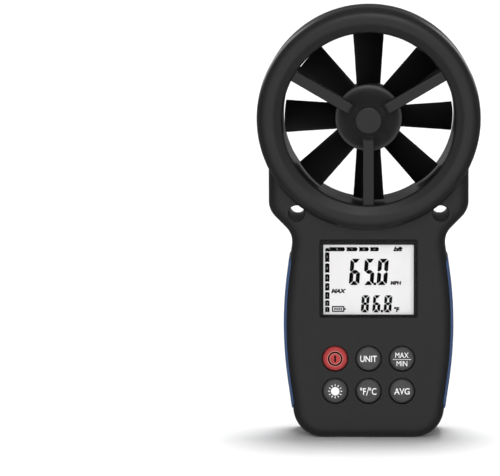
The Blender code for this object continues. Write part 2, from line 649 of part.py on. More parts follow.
def build_display():
    lens = box("display_window", (-BEZEL_HALF_W + GAP, BEZEL_HALF_W - GAP),
               (FRONT_Y + GAP, FRONT_Y + BEZEL_DEPTH - GAP), (BEZEL_Z[0] + GAP, BEZEL_Z[1] - GAP))
    part(bevel(lens, 0.5 * MM, segments=2), CLEAR)
    glass_y = FRONT_Y + WALL + GAP
    glass_z = (SCREEN_Z[0] - 1.5 * GLASS_MARGIN, SCREEN_Z[1] + GLASS_MARGIN)
    half_w = SCREEN_HALF_W + GLASS_MARGIN
    part(box("lcd_panel", (-half_w, half_w), (glass_y, glass_y + GLASS_THICK), glass_z), SCREEN)
    light_y = glass_y + GLASS_THICK + GAP
    part(box("lcd_backlight", (-half_w, half_w), (light_y, light_y + BACKLIGHT_THICK),
             (glass_z[0] + 2.6 * MM, glass_z[1])), WHITE_ABS)
    part(box("contact_strip", (-half_w + MM, half_w - MM), (light_y, BOARD_Y[0] - GAP),
             (glass_z[0] + 0.2 * MM, glass_z[0] + 2.2 * MM)), SILICONE)
    inside = half_w + GAP
    outside = inside + HOLDER_WALL
    frame = box("lcd_holder", (-outside, outside), (glass_y, BOARD_Y[0] - GAP),
                (glass_z[0] - GAP - HOLDER_WALL, glass_z[1] + GAP + HOLDER_WALL))
    inner = cutter(box("lcd_holder_opening", (-inside, inside), (FAR_FRONT, FAR_BACK),
                       (glass_z[0] - GAP, glass_z[1] + GAP)))
    boolean(bevel(frame, 0.4 * MM, segments=1), inner)
    part(frame, WHITE_ABS)


def build_keys():
    """Six key caps on stems, the rubber mat they pass through and the dome switches below."""
    flange_front = FRONT_Y + WALL + GAP
    flange_back = flange_front + KEY_FLANGE_THICK
    profile = [(0.0, KEY_CROWN_Y), (KEY_CROWN_R, KEY_CROWN_Y)]
    profile += [(KEY_R - 0.2 * MM, KEY_CROWN_Y + 0.25 * MM), (KEY_R, KEY_CROWN_Y + 0.8 * MM)]
    profile += [(KEY_R, flange_front), (KEY_FLANGE_R, flange_front), (KEY_FLANGE_R, flange_back)]
    profile += [(KEY_STEM_R, flange_back), (KEY_STEM_R, KEY_STEM_END_Y), (0.0, KEY_STEM_END_Y)]
    mat_y = (MAT_FRONT_Y, BOARD_Y[0] - GAP)
    mat_z = (KEY_ROWS_Z[1] - 4.6 * MM, KEY_ROWS_Z[0] + 6 * MM)
    mat = box("keypad_mat", (-MAT_HALF_W, MAT_HALF_W), mat_y, mat_z)
    dome_y = (DOME_FRONT_Y, BOARD_Y[0] - GAP)
    for row, z in enumerate(KEY_ROWS_Z):
        for column, x in enumerate(KEY_X):
            name = KEY_NAMES[row][column]
            cap = turned(f"button_{name}", profile, closed=False, steps=18)
            cap.location = (x, 0.0, z)
            part(cap, KEY_RED if name == "power" else KEY_GREY)
            boolean(mat, cutter(rod(f"mat_hole_{name}", MAT_HOLE_R, (FAR_FRONT, 0.0), x, z, 12)))
            part(rod(f"dome_switch_{name}", DOME_R[0], dome_y, x, z, 12, DOME_R[1]), STEEL)
    part(bevel(mat, 0.5 * MM, segments=1), SILICONE)


def build_board():
    board = box("main_board", (-BOARD_HALF_W, BOARD_HALF_W), BOARD_Y, BOARD_Z)
    part(bevel(board, 0.8 * MM, segments=1), BOARD_GREEN)
    back = BOARD_Y[1] + GAP
    for name, (xs, height, zs), look in (("processor_chip", PROCESSOR, CHIP_BLACK),
                                         ("signal_chip", SIGNAL_CHIP, CHIP_BLACK),
                                         ("quartz_crystal", CRYSTAL, STEEL)):
        part(box(name, xs, (back, back + height), zs), look)
    can_y = (back, back + CAPACITOR_HEIGHT)
    part(rod("smoothing_capacitor", CAPACITOR_R, can_y, *CAPACITOR, 24), CELL)
    bead = rod("temperature_sensor", TEMPERATURE_SENSOR_R, TEMPERATURE_SENSOR_Y, *TEMPERATURE_SENSOR, 16)
    part(bead, BRASS)


# ---------------------------------------------------------------- battery and door

def build_battery():
    half_room = BATTERY_HALF_W + GAP
    floor_y = BATTERY_Y[0] - GAP
    room_z = (BATTERY_Z[0] - GAP, BATTERY_Z[1] + TRAY_TOP_ROOM)
    tray = box("battery_tray", (-half_room - TRAY_WALL, half_room + TRAY_WALL),
               (floor_y - TRAY_FLOOR, BACK_Y - WALL - 2 * GAP),
               (room_z[0] - TRAY_WALL, room_z[1] + TRAY_POST))
    boolean(tray, cutter(box("battery_room", (-half_room, half_room), (floor_y, FAR_BACK), room_z)))
    pilot_y = (8 * MM, FAR_BACK)
    pilot = rod("door_screw_pilot", SCREW_SHANK_R + GAP, pilot_y, 0.0, DOOR_SCREW_Z, 16)
    boolean(tray, cutter(pilot))
    slot_z = (BATTERY_Z[1] + 3 * MM, 80 * MM)
    boolean(tray, cutter(box("battery_lead_slot", (-3.2 * MM, 3.2 * MM), (-2 * MM, 4.2 * MM), slot_z)))
    part(tray, BLACK_ABS)
    cell = box("battery", (-BATTERY_HALF_W, BATTERY_HALF_W), BATTERY_Y, BATTERY_Z)
    bevel(cell, 1.2 * MM, segments=2)
    middle_y = sum(BATTERY_Y) / 2
    for name, x, radius in (("terminal_small", -TERMINAL_X, TERMINAL_R[0]),
                            ("terminal_large", TERMINAL_X, TERMINAL_R[1])):
        post = rod(name, radius, (-MM, TERMINAL_HEIGHT), x, 0.0, 24)
        post.rotation_euler = (math.radians(90), 0.0, 0.0)
        post.location = (x, middle_y, BATTERY_Z[1] + TERMINAL_HEIGHT / 2 - MM / 2)
        boolean(cell, cutter(post), "UNION")
    part(cell, CELL)
    snap = box("battery_snap", (-SNAP_HALF[0], SNAP_HALF[0]),
               (middle_y - SNAP_HALF[1], middle_y + SNAP_HALF[1]), SNAP_Z)
    part(bevel(snap, 1.5 * MM, segments=2), CHIP_BLACK)
    top = BATTERY_Z[1]
    for name, x, look in (("battery_lead_positive", 2.2 * MM, WIRE_RED),
                          ("battery_lead_negative", -2.2 * MM, WIRE_BLACK)):
        path = [(x, middle_y - SNAP_HALF[1] - GAP, top + 3.8 * MM), (x, 2.1 * MM, top + 4.1 * MM),
                (x, 1.8 * MM, top + 5 * MM), (x, 1.8 * MM, top + 10 * MM), (x, 1.8 * MM, top + 18.2 * MM),
                (x, 1.3 * MM, top + 19.6 * MM), (x, 0.2 * MM, top + 20.3 * MM),
                (x, BOARD_Y[1] + 1.4 * GAP, top + 20.5 * MM)]
        tube(name, path, 0.6 * MM, look)


def build_door():
    """Door that turns on its rounded lower edge; its origin is on that pivot."""
    profile_top = DOOR_Z[1] - DOOR_PIVOT_Z
    radius = DOOR_THICK / 2
    outline = arc(0.0, 0.0, radius, radius, 180, 360, 8)
    bm = bmesh.new()
    side = [bm.verts.new((-DOOR_HALF_W, y, z)) for y, z in outline]
    side.append(bm.verts.new((-DOOR_HALF_W, radius, profile_top)))
    side.append(bm.verts.new((-DOOR_HALF_W, -radius, profile_top)))
    grown = bmesh.ops.extrude_face_region(bm, geom=[bm.faces.new(side)])
    moved = [v for v in grown["geom"] if isinstance(v, bmesh.types.BMVert)]
    bmesh.ops.translate(bm, vec=(2 * DOOR_HALF_W, 0.0, 0.0), verts=moved)
    door = to_mesh("battery_door", bm)
    door.location = (0.0, DOOR_PIVOT_Y, DOOR_PIVOT_Z)
    hole_y = (10 * MM, FAR_BACK)
    hole = rod("door_screw_hole", SCREW_SHANK_R + GAP, hole_y, 0.0, DOOR_SCREW_Z, 16)
    boolean(door, cutter(hole))
    seat_y = (DOOR_SCREW_SEAT_Y, FAR_BACK)
    seat = rod("door_screw_seat", SCREW_HEAD_R + GAP, seat_y, 0.0, DOOR_SCREW_Z, 20)
    boolean(door, cutter(seat))
    for i in range(6):
        z = GROOVE_Z + i * GROOVE_PITCH
        groove = box(f"door_groove_{i + 1}", (-GROOVE_HALF_W, GROOVE_HALF_W),
                     (BACK_Y - 0.1 * MM - GROOVE_DEPTH, FAR_BACK), (z, z + GROOVE_WIDTH))
        boolean(door, cutter(groove))
    part(door, BLACK_ABS)
    screw = screw_shape("door_screw", 0.0, DOOR_SCREW_Z, DOOR_SCREW_SEAT_Y + GAP / 2,
                        DOOR_SCREW_HEAD, DOOR_SCREW_SHANK)
    screw.parent = door
    screw.matrix_parent_inverse = Matrix.Translation(-door.location)


# ---------------------------------------------------------------- screws, grips, leads

def screw_shape(name, x, z, seat_y, head, shank):
    """Pan-head screw driven in from the back."""
    tip = seat_y - shank
    profile = [(0.0, tip), (SCREW_SHANK_R * 0.5, tip), (SCREW_SHANK_R, tip + 0.8 * MM)]
    profile += [(SCREW_SHANK_R, seat_y), (SCREW_HEAD_R, seat_y), (SCREW_HEAD_R, seat_y + head * 0.6)]
    profile += [(SCREW_HEAD_R * 0.7, seat_y + head), (0.0, seat_y + head)]
    screw = turned(name, profile, closed=False, steps=10)
    screw.location = (x, 0.0, z)
    return part(screw, STEEL)


def build_grips():
    for sign, side in ((-1, "left"), (1, "right")):
        grip = grip_shape(f"grip_{side}_form", sign, 0.0, GRIP_SINK)
        skin = handle_solid(f"grip_{side}_skin", -GRIP_PROUD, (FRONT_Y - GRIP_PROUD, BACK_Y + GRIP_PROUD),
                            RIM_ROUND + GRIP_PROUD)
        boolean(grip, skin, "INTERSECT")
        CUTTERS.objects.unlink(grip)
        grip.hide_render = False
        grip.display_type = "TEXTURED"
        grip.name = f"grip_{side}"
        part(grip, GRIP_BLUE)


def main():
    outer, hollow = build_masters()
    build_front_case(outer, hollow)
    build_rear_case(outer, hollow)
    build_vane_ring_front()
    build_vane_ring_rear()
    build_nose_cap()
    build_impeller()
    build_rotor_core()
    build_display()
    build_keys()
    build_board()
    build_battery()
    build_door()
    build_grips()
    for place, (x, z) in CASE_SCREWS.items():
        screw_shape(f"screw_{place}", x, z, SCREW_SEAT_Y + GAP / 2, CASE_SCREW_HEAD, CASE_SCREW_SHANK)
    tube("sensor_lead", [(0.0, LEAD_Y, AXIS_Z - 10.2 * MM), (0.0, LEAD_Y, AXIS_Z - 25 * MM),
                         (0.0, LEAD_Y, AXIS_Z - 36.5 * MM), (0.0, 11 * MM, AXIS_Z - 40 * MM),
                         (0.0, 5 * MM, AXIS_Z - 43.2 * MM), (0.0, 3 * MM, AXIS_Z - 44.4 * MM),
                         (0.0, 0.4 * MM, AXIS_Z - 45 * MM), (0.0, -0.4 * MM, AXIS_Z - 45.2 * MM)],
         LEAD_R, WIRE_BLACK)


main()
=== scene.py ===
import math

import bmesh
import bpy
from mathutils import Matrix, Vector


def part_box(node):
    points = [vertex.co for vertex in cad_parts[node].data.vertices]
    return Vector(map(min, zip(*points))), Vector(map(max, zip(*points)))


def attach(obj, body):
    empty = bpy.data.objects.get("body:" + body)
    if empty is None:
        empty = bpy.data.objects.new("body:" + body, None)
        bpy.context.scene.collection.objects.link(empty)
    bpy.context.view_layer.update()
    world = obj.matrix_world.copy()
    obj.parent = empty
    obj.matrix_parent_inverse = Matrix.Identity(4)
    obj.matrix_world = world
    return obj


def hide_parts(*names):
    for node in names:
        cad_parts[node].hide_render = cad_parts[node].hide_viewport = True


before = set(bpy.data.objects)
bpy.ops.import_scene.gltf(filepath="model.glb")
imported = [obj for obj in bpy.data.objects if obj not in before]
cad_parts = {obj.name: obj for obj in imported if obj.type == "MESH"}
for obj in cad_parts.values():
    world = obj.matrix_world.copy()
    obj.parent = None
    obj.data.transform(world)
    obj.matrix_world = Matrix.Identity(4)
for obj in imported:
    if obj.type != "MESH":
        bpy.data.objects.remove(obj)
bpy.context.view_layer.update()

# ---------------------------------------------------------------- sizes, read from the frame

MM = 0.001


def mm(*rows):
    """Rows of values given in millimetres, in metres."""
    return [tuple(value * MM for value in row) for row in rows]


GAP = 0.3 * MM              # clearance that the CAD keeps between pieces
FLAT = 0.9998               # a normal this close to an axis belongs to a flat face
CASE_LO, CASE_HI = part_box("front_case")
BACK_LO, BACK_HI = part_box("rear_case")
RING_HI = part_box("vane_ring_front")[1]
DUCT_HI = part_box("vane_ring_rear")[1]
CAP_LO, CAP_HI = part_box("nose_cap")
DOOR_LO, DOOR_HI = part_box("battery_door")
WINDOW_LO, WINDOW_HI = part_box("display_window")
BATTERY_LO, BATTERY_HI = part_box("battery")
SNAP_LO, SNAP_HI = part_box("battery_snap")

RING_R = RING_HI.x
AXIS_Z = RING_HI.z - RING_R
FRONT_Y = CASE_LO.y
BACK_Y = BACK_HI.y
PARTING_Y = (CASE_HI.y + BACK_LO.y) / 2
DUCT_WALL = 2.0 * MM
DUCT_R = DUCT_HI.x - DUCT_WALL
BARREL_R = RING_R - 0.3 * MM
CROWN_R = 37.6 * MM         # frontmost circle of the ring's lip
RIM_ROUND = 5.0 * MM
WALL = 2.4 * MM
TIP_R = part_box("impeller")[1].x     # blade tips
HUB_R = 12.7 * MM
BLADE_MIDDLE_Y = 1.35 * MM
SPOKE_W = 4.1 * MM
SPOKE_ANGLES = (30, 150, 270)
BLADES = 8
CONE_TIP_Y = -17.3 * MM
BEARING_SEAT_R = 2.5 * MM
PIN_HOLE_R = 1.3 * MM       # round the 2 mm shaft and screw shanks
SEAM_GAP = 0.01 * MM        # each half stops this short of the parting plane
SEAM_CHAMFER = 0.4 * MM

# Handle outline: corner x, corner z, rounding radius of that corner
HANDLE_CORNERS = mm((27.3, 0, 11.5), (33.3, 43, 150), (28.65, 78.1, 7.7), (37.9, 87.6, 8.2), (37.9, 106, 0))
STRAP_HOLE = (27.3 * MM, 86.7 * MM)
STRAP_HOLE_R = 3.0 * MM
GRIP_Z = (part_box("grip_right")[0].z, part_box("grip_right")[1].z)
GRIP_Y = (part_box("grip_right")[0].y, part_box("grip_right")[1].y)
GRIP_PROUD = 0.45 * MM
GRIP_SINK = 1.0 * MM
GRIP_RIBS = 21
SCREEN_HALF_W = 17.15 * MM
SCREEN_Z = (47.7 * MM, 74.6 * MM)
BEZEL_HALF_W = WINDOW_HI.x + GAP
BEZEL_Z = (WINDOW_LO.z - GAP, WINDOW_HI.z + GAP)
BEZEL_DEPTH = 1.4 * MM
KEY_NAMES = (("power", "unit", "max_min"), ("backlight", "temp_unit", "average"))
KEY_R = 4.72 * MM
KEY_HOLE_R = 4.98 * MM
KEY_TOP_R = 2.9 * MM
CASE_SCREWS = {             # the turn of each screw's recess, in degrees
    "bottom_left": 12, "bottom_right": 48, "shoulder_left": 70, "shoulder_right": 25,
    "ring_left": 5, "ring_right": 61,
}
SCREW_HOLE_R = 2.2 * MM
FAR = 40 * MM               # beyond the front and the back, for cutters


def middle(node):
    """Centre of a CAD node's box."""
    low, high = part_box(node)
    return (low + high) / 2


# ---------------------------------------------------------------- building blocks

def arc(cx, cy, rx, ry, start, end, steps):
    """Points of an elliptic arc, angles in degrees."""
    points = []
    for i in range(steps + 1):
        a = math.radians(start + (end - start) * i / steps)
        points.append((cx + rx * math.cos(a), cy + ry * math.sin(a)))
    return points


def blend(low, high, t):
    """Smooth step from low to high as t runs from 0 to 1."""
    t = min(1.0, max(0.0, t))
    return low + (high - low) * t * t * (3 - 2 * t)


def add_loft(bm, rings, caps=True, closed=False):
    """Skin a row of rings that have the same number of points."""
    made = [[bm.verts.new(p) for p in ring] for ring in rings]
    pairs = list(zip(made, made[1:]))
    if closed:
        pairs.append((made[-1], made[0]))
    for one, two in pairs:
        count = len(one)
        for i in range(count):
            j = (i + 1) % count
            bm.faces.new((one[i], one[j], two[j], two[i]))
    if caps and not closed:
        bm.faces.new(list(reversed(made[0])))
        bm.faces.new(made[-1])


def add_lathe(bm, profile, x=0.0, z=AXIS_Z, steps=96, closed=False):
    """Turn a profile of (radius, y) about the line through (x, z) along Y."""
    rings = []
    for radius, y in profile:
        if radius < 1e-7:
            rings.append([bm.verts.new((x, y, z))])
            continue
        ring = []
        for i in range(steps):
            a = 2 * math.pi * i / steps
            ring.append(bm.verts.new((x + radius * math.cos(a), y, z + radius * math.sin(a))))
        rings.append(ring)
    pairs = list(zip(rings, rings[1:]))
    if closed:
        pairs.append((rings[-1], rings[0]))
    for one, two in pairs:
        for i in range(steps):
            j = (i + 1) % steps
            if len(one) == 1:
                bm.faces.new((one[0], two[j], two[i]))
            elif len(two) == 1:
                bm.faces.new((one[i], one[j], two[0]))
            else:
                bm.faces.new((one[i], one[j], two[j], two[i]))


def add_box(bm, xs, ys, zs):
    """An axis-aligned box between the given limits."""
    low = Vector((xs[0], ys[0], zs[0]))
    high = Vector((xs[1], ys[1], zs[1]))
    made = bmesh.ops.create_cube(bm, size=1.0)["verts"]
    bmesh.ops.scale(bm, vec=high - low, verts=made)
    bmesh.ops.translate(bm, vec=(low + high) / 2, verts=made)
    return made


def form(build, *args, **options):
    """A new bmesh with one form in it."""
    bm = bmesh.new()
    build(bm, *args, **options)
    return bm


def disc(radius, y0, y1):
    """Profile of a solid disc or rod."""
    return [(0.0, y0), (radius, y0), (radius, y1), (0.0, y1)]


def add_plate(bm, points, y_front, y_back):
    """A flat outline of (x, z) points with a little thickness."""
    add_loft(bm, [[(x, y, z) for x, z in points] for y in (y_back, y_front)])


def round_rect(xs, zs, radius, steps=6):
    """Outline of a rectangle with round corners, as (x, z) points."""
    points = []
    for cx, cz, start in ((xs[1] - radius, zs[0] + radius, -90), (xs[1] - radius, zs[1] - radius, 0),
                          (xs[0] + radius, zs[1] - radius, 90), (xs[0] + radius, zs[0] + radius, 180)):
        points += arc(cx, cz, radius, radius, start, start + 90, steps)
    return points


def shrunk(limits, inset):
    """A (low, high) pair drawn in by inset at both ends."""
    return limits[0] + inset, limits[1] - inset


def pillow(bm, xs, zs, corner, stack):
    """A rounded block that lies along Y: stack is a list of (inset, y)."""
    rings = []
    for inset, y in stack:
        shape = round_rect(shrunk(xs, inset), shrunk(zs, inset), max(corner - inset, 0.02 * MM))
        rings.append([(x, y, z) for x, z in shape])
    add_loft(bm, rings)


def pillar(bm, low, high, corner, stack, caps=True):
    """A rounded block that stands along Z between two corners: stack is a list of (inset, z)."""
    xs, ys = (low.x, high.x), (low.y, high.y)
    rings = []
    for inset, z in stack:
        shape = round_rect(shrunk(xs, inset), shrunk(ys, inset), corner - inset, 8)
        rings.append([(x, y, z) for x, y in shape])
    add_loft(bm, rings, caps, closed=not caps)


def make(name, bm, finish=None, smooth=32.0):
    """Turn a bmesh into an object, shaded smooth except at its sharp edges."""
    mesh = bpy.data.meshes.new(name)
    bmesh.ops.recalc_face_normals(bm, faces=bm.faces)
    bm.to_mesh(mesh)
    bm.free()
    obj = bpy.data.objects.new(name, mesh)
    bpy.context.scene.collection.objects.link(obj)
    mesh.shade_smooth()
    mesh.set_sharp_from_angle(angle=math.radians(smooth))
    if finish is not None:
        mesh.materials.append(finish)
    return obj


def settle(obj, smooth=None):
    """Apply the object's modifiers and, where an angle is given, shade it again."""
    deps = bpy.context.evaluated_depsgraph_get()
    mesh = bpy.data.meshes.new_from_object(obj.evaluated_get(deps))
    obj.modifiers.clear()
    obj.data = mesh
    if smooth is not None:
        mesh.shade_smooth()
        mesh.set_sharp_from_angle(angle=math.radians(smooth))
    return obj


def combine(obj, bm, operation="DIFFERENCE", smooth=32.0):
    """Cut the forms in a bmesh out of an object, or join them to it."""
    tool = make(f"{obj.name}_tool", bm)
    mod = obj.modifiers.new("shape", "BOOLEAN")
    mod.solver = "EXACT"
    mod.operation = operation
    mod.object = tool
    settle(obj, smooth)
    bpy.data.objects.remove(tool, do_unlink=True)
    return obj


def cut_box(obj, xs, ys, zs):
    return combine(obj, form(add_box, xs, ys, zs))


def cut_rod(obj, radius, y0, y1, spot=(0.0, AXIS_Z), steps=48):
    """Cut a round hole along Y."""
    return combine(obj, form(add_lathe, disc(radius, y0, y1), *spot, steps))


def even_normals(obj):
    """Weight the normals by face area and keep the faces that look along Y dead flat."""
    mod = obj.modifiers.new("even", "WEIGHTED_NORMAL")
    mod.keep_sharp = True
    settle(obj)
    mesh = obj.data
    normals = [tuple(corner.vector) for corner in mesh.corner_normals]
    for face in mesh.polygons:
        if abs(face.normal.y) > FLAT:
            for corner in face.loop_indices:
                normals[corner] = tuple(face.normal)
    mesh.normals_split_custom_set(normals)


def place(obj, body, slot, *nodes):
    """Give a piece its body and hide the CAD nodes that it stands for; slot is not used."""
    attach(obj, body)
    if nodes:
        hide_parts(*nodes)
    return obj


def rounded(corners, arc_step):
    """Sample an open outline whose corners (x, z, radius) are rounded by tangent arcs."""
    points = [Vector(corners[0][:2])]
    for (ax, az, _), (bx, bz, radius), (cx, cz, _) in zip(corners, corners[1:], corners[2:]):
        corner = Vector((bx, bz))
        back = (Vector((ax, az)) - corner).normalized()
        ahead = (Vector((cx, cz)) - corner).normalized()
        if radius <= 0.0:
            points.append(corner)
            continue
        half = back.angle(ahead) / 2
        centre = corner + (back + ahead).normalized() * radius / math.sin(half)
        reach = radius / math.tan(half)
        first = corner + back * reach - centre
        turn = math.pi - 2 * half
        if back.cross(ahead) > 0:
            turn = -turn
        steps = max(16, math.ceil(abs(math.degrees(turn)) / arc_step))
        for i in range(steps + 1):
            points.append(centre + Matrix.Rotation(turn * i / steps, 2) @ first)
    points.append(Vector(corners[-1][:2]))
    return points


HALF_OUTLINE = rounded([(0.0, 0.0, 0.0), *HANDLE_CORNERS, (0.0, HANDLE_CORNERS[-1][1], 0.0)], 4)


def outline(inset=0.0):
    """The closed outline of handle and shoulders, moved inwards by inset."""
    right = HALF_OUTLINE[1:-1]
    loop = right + [Vector((-p.x, p.y)) for p in reversed(right)]
    moved = []
    for i, point in enumerate(loop):
        before = (point - loop[i - 1]).normalized()
        after = (loop[(i + 1) % len(loop)] - point).normalized()
        normal = Vector((-(before + after).y, (before + after).x)).normalized()
        moved.append(point + normal * inset / max(0.3, normal.dot(Vector((-after.y, after.x)))))
    return moved


def handle_rings(stack):
    """Rings of the handle outline for a list of (inset, y)."""
    return [[(p.x, y, p.y) for p in outline(inset)] for inset, y in stack]


# ---------------------------------------------------------------- materials

def fill(node, values):
    """Set a node's inputs by name."""
    for name, value in values.items():
        node.inputs[name].default_value = value
    return node


class Finish:
    """A node material that is built up step by step around one Principled shader."""

    def __init__(self, name, colour, roughness, metallic=0.0, specular=0.5):
        self.mat = bpy.data.materials.new(name)
        self.mat.use_nodes = True
        self.nodes = self.mat.node_tree.nodes
        self.links = self.mat.node_tree.links
        self.shader = self.nodes["Principled BSDF"]
        fill(self.shader, {"Base Color": (*colour, 1.0), "Roughness": roughness, "Metallic": metallic,
                           "Specular IOR Level": specular})
        self.mat.diffuse_color = (*colour, 1.0)
        self.coords = self.nodes.new("ShaderNodeTexCoord").outputs["Object"]

    def scaled(self, size):
        """Object coordinates in which one unit is size metres."""
        node = self.nodes.new("ShaderNodeMapping")
        node.inputs["Scale"].default_value = (1 / size, 1 / size, 1 / size)
        self.links.new(self.coords, node.inputs["Vector"])
        return node.outputs["Vector"]

    def noise(self, size, detail=3.0):
        """Noise whose grains are about size across, in metres."""
        tex = fill(self.nodes.new("ShaderNodeTexNoise"), {"Scale": 1.0, "Detail": detail})
        self.links.new(self.scaled(size), tex.inputs["Vector"])
        return tex.outputs["Fac"]

    def ramp(self, source, low, high, out_low, out_high):
        """Map a value from one range to another."""
        node = fill(self.nodes.new("ShaderNodeMapRange"),
                    {"From Min": low, "From Max": high, "To Min": out_low, "To Max": out_high})
        self.links.new(source, node.inputs["Value"])
        return node.outputs["Result"]

    def tint(self, factor, colour):
        """Mix another colour in where factor is high."""
        mix = self.nodes.new("ShaderNodeMix")
        mix.data_type = "RGBA"
        base = self.shader.inputs["Base Color"]
        if base.is_linked:
            self.links.new(base.links[0].from_socket, mix.inputs["A"])
        else:
            mix.inputs["A"].default_value = base.default_value
        mix.inputs["B"].default_value = (*colour, 1.0)
        self.links.new(factor, mix.inputs["Factor"])
        self.links.new(mix.outputs["Result"], base)
        return self

    def rough(self, source, low, high):
        """Vary the roughness between low and high."""
        self.links.new(self.ramp(source, 0.3, 0.7, low, high), self.shader.inputs["Roughness"])
        return self

    def bump(self, source, depth, strength=1.0):
        """Raise the surface by depth where source is high."""
        node = fill(self.nodes.new("ShaderNodeBump"), {"Distance": depth, "Strength": strength})
        self.links.new(source, node.inputs["Height"])
        normal = self.shader.inputs["Normal"]
        if normal.is_linked:
            self.links.new(normal.links[0].from_socket, node.inputs["Normal"])
        self.links.new(node.outputs["Normal"], normal)
        return self

    def edges(self, colour):
        """Make the convex edges a little lighter."""
        geometry = self.nodes.new("ShaderNodeNewGeometry")
        return self.tint(self.ramp(geometry.outputs["Pointiness"], 0.53, 0.62, 0.0, 0.7), colour)


def moulded(name, colour, roughness, specular, grain=0.22 * MM, depth=0.006 * MM, lighter_edges=None):
    """Moulded plastic: spark-eroded grain, slow roughness drift, faint mottling."""
    look = Finish(name, colour, roughness, specular=specular)
    look.rough(look.noise(9 * MM, 4), roughness - 0.04, roughness + 0.05)
    look.tint(look.ramp(look.noise(2.5 * MM, 5), 0.35, 0.75, 0.0, 0.35), [c * 0.8 for c in colour])
    look.bump(look.noise(grain, 4), depth)
    look.bump(look.noise(14 * MM, 1), 0.02 * MM, 0.35)
    # Where a colour is given, convex edges are tinted lighter towards it.
    if lighter_edges:
        look.edges(lighter_edges)
    return look.mat


def rubber(name, colour, roughness, specular=0.3):
    """Soft overmoulded rubber: fine matt grain and a dusty sheen."""
    look = Finish(name, colour, roughness, specular=specular)
    look.rough(look.noise(5 * MM, 4), roughness - 0.05, roughness + 0.08)
    look.tint(look.ramp(look.noise(1.2 * MM, 5), 0.4, 0.8, 0.0, 0.4), [c * 0.72 for c in colour])
    look.bump(look.noise(0.12 * MM, 3), 0.005 * MM)
    fill(look.shader, {"Sheen Weight": 0.04, "Sheen Roughness": 0.6})
    return look.mat


def metal(name, colour, roughness):
    """Plated metal with fine marks and dull spots."""
    look = Finish(name, colour, roughness, metallic=1.0)
    look.rough(look.noise(0.8 * MM, 5), roughness - 0.08, roughness + 0.14)
    look.tint(look.ramp(look.noise(1.6 * MM, 5), 0.5, 0.8, 0.0, 0.5), [c * 0.7 for c in colour])
    look.bump(look.noise(0.15 * MM, 3), 0.002 * MM)
    return look.mat


def circuit_board(name):
    """Green solder mask over faint copper tracks."""
    look = Finish(name, (0.012, 0.11, 0.045), 0.32)
    tracks = fill(look.nodes.new("ShaderNodeTexBrick"), {"Scale": 1.0, "Mortar Size": 0.09})
    look.links.new(look.scaled(1.6 * MM), tracks.inputs["Vector"])
    look.tint(look.ramp(tracks.outputs["Fac"], 0.0, 1.0, 0.0, 0.5), (0.03, 0.2, 0.07))
    look.bump(tracks.outputs["Fac"], 0.02 * MM)
    look.rough(look.noise(3 * MM), 0.26, 0.4)
    return look.mat


def print_ink(name, colour, specular=0.3):
    """Opaque pad-printed ink with a slightly uneven edge of gloss."""
    look = Finish(name, colour, 0.5, specular=specular)
    look.rough(look.noise(0.6 * MM), 0.42, 0.6)
    look.tint(look.ramp(look.noise(0.3 * MM, 4), 0.55, 0.9, 0.0, 0.25), [c * 0.8 for c in colour])
    look.bump(look.noise(0.1 * MM), 0.002 * MM)
    return look.mat


def lcd_glass(name):
    """Display with a painted glow: an even pale glow from a little emission, with a faint haze."""
    look = Finish(name, (0.738, 0.705, 0.707), 0.35, specular=0.3)
    look.tint(look.ramp(look.noise(7 * MM, 2), 0.35, 0.7, 0.0, 0.6), (0.785, 0.75, 0.753))
    look.rough(look.noise(2 * MM), 0.3, 0.42)
    look.bump(look.noise(0.3 * MM, 2), 0.001 * MM)
    # Painted glow: this emission brightens the screen as if light fell on it; no lamp lights it.
    fill(look.shader, {"Emission Color": (0.95, 0.905, 0.905, 1.0), "Emission Strength": 0.12})
    return look.mat


def clear_plastic(name):
    """Thin polished acrylic: clear straight through, glossier at grazing angles."""
    look = Finish(name, (0.95, 0.96, 0.97), 0.06)
    look.nodes.remove(look.shader)
    look.shader = look.nodes.new("ShaderNodeBsdfGlossy")
    look.rough(look.noise(6 * MM, 3), 0.04, 0.1)
    look.bump(look.noise(4 * MM, 1), 0.002 * MM)
    clear = fill(look.nodes.new("ShaderNodeBsdfTransparent"), {"Color": (0.97, 0.98, 0.98, 1.0)})
    fresnel = fill(look.nodes.new("ShaderNodeFresnel"), {"IOR": 1.12})
    mix = look.nodes.new("ShaderNodeMixShader")
    look.links.new(fresnel.outputs["Fac"], mix.inputs["Fac"])
    look.links.new(clear.outputs["BSDF"], mix.inputs[1])
    look.links.new(look.shader.outputs["BSDF"], mix.inputs[2])
    look.links.new(mix.outputs["Shader"], look.nodes["Material Output"].inputs["Surface"])
    return look.mat


CASE = moulded("case_moulding", (0.0105, 0.0105, 0.0107), 0.42, 0.32)
RING = moulded("ring_moulding", (0.0105, 0.0105, 0.0107), 0.36, 0.36, lighter_edges=(0.03, 0.03, 0.031))
DUCT = moulded("duct_wall", (0.012, 0.012, 0.0122), 0.34, 0.34, depth=0.003 * MM)
# Painted light: the nose cone is the ring's plastic made about twice as light, standing in for the light
# that falls on it.
CONE = moulded("cone_painted_light", (0.022, 0.022, 0.0222), 0.4, 0.5, depth=0.003 * MM)
BLADE = moulded("rotor_moulding", (0.0035, 0.0035, 0.0036), 0.5, 0.12, grain=0.3 * MM, depth=0.004 * MM)
TRAY = moulded("tray_moulding", (0.022, 0.022, 0.022), 0.55, 0.3, grain=0.35 * MM, depth=0.012 * MM)
GRIP = rubber("grip_rubber", (0.023, 0.062, 0.165), 0.55, 0.5)
KEY_GREY = rubber("key_rubber_grey", (0.052, 0.052, 0.053), 0.5)
KEY_RED = rubber("key_rubber_red", (0.4, 0.038, 0.039), 0.5)
MAT_RUBBER = rubber("keypad_silicone", (0.2, 0.2, 0.205), 0.7)
SNAP_RUBBER = rubber("snap_rubber", (0.014, 0.014, 0.014), 0.6)
INK_WHITE = print_ink("legend_white", (0.9, 0.9, 0.9))
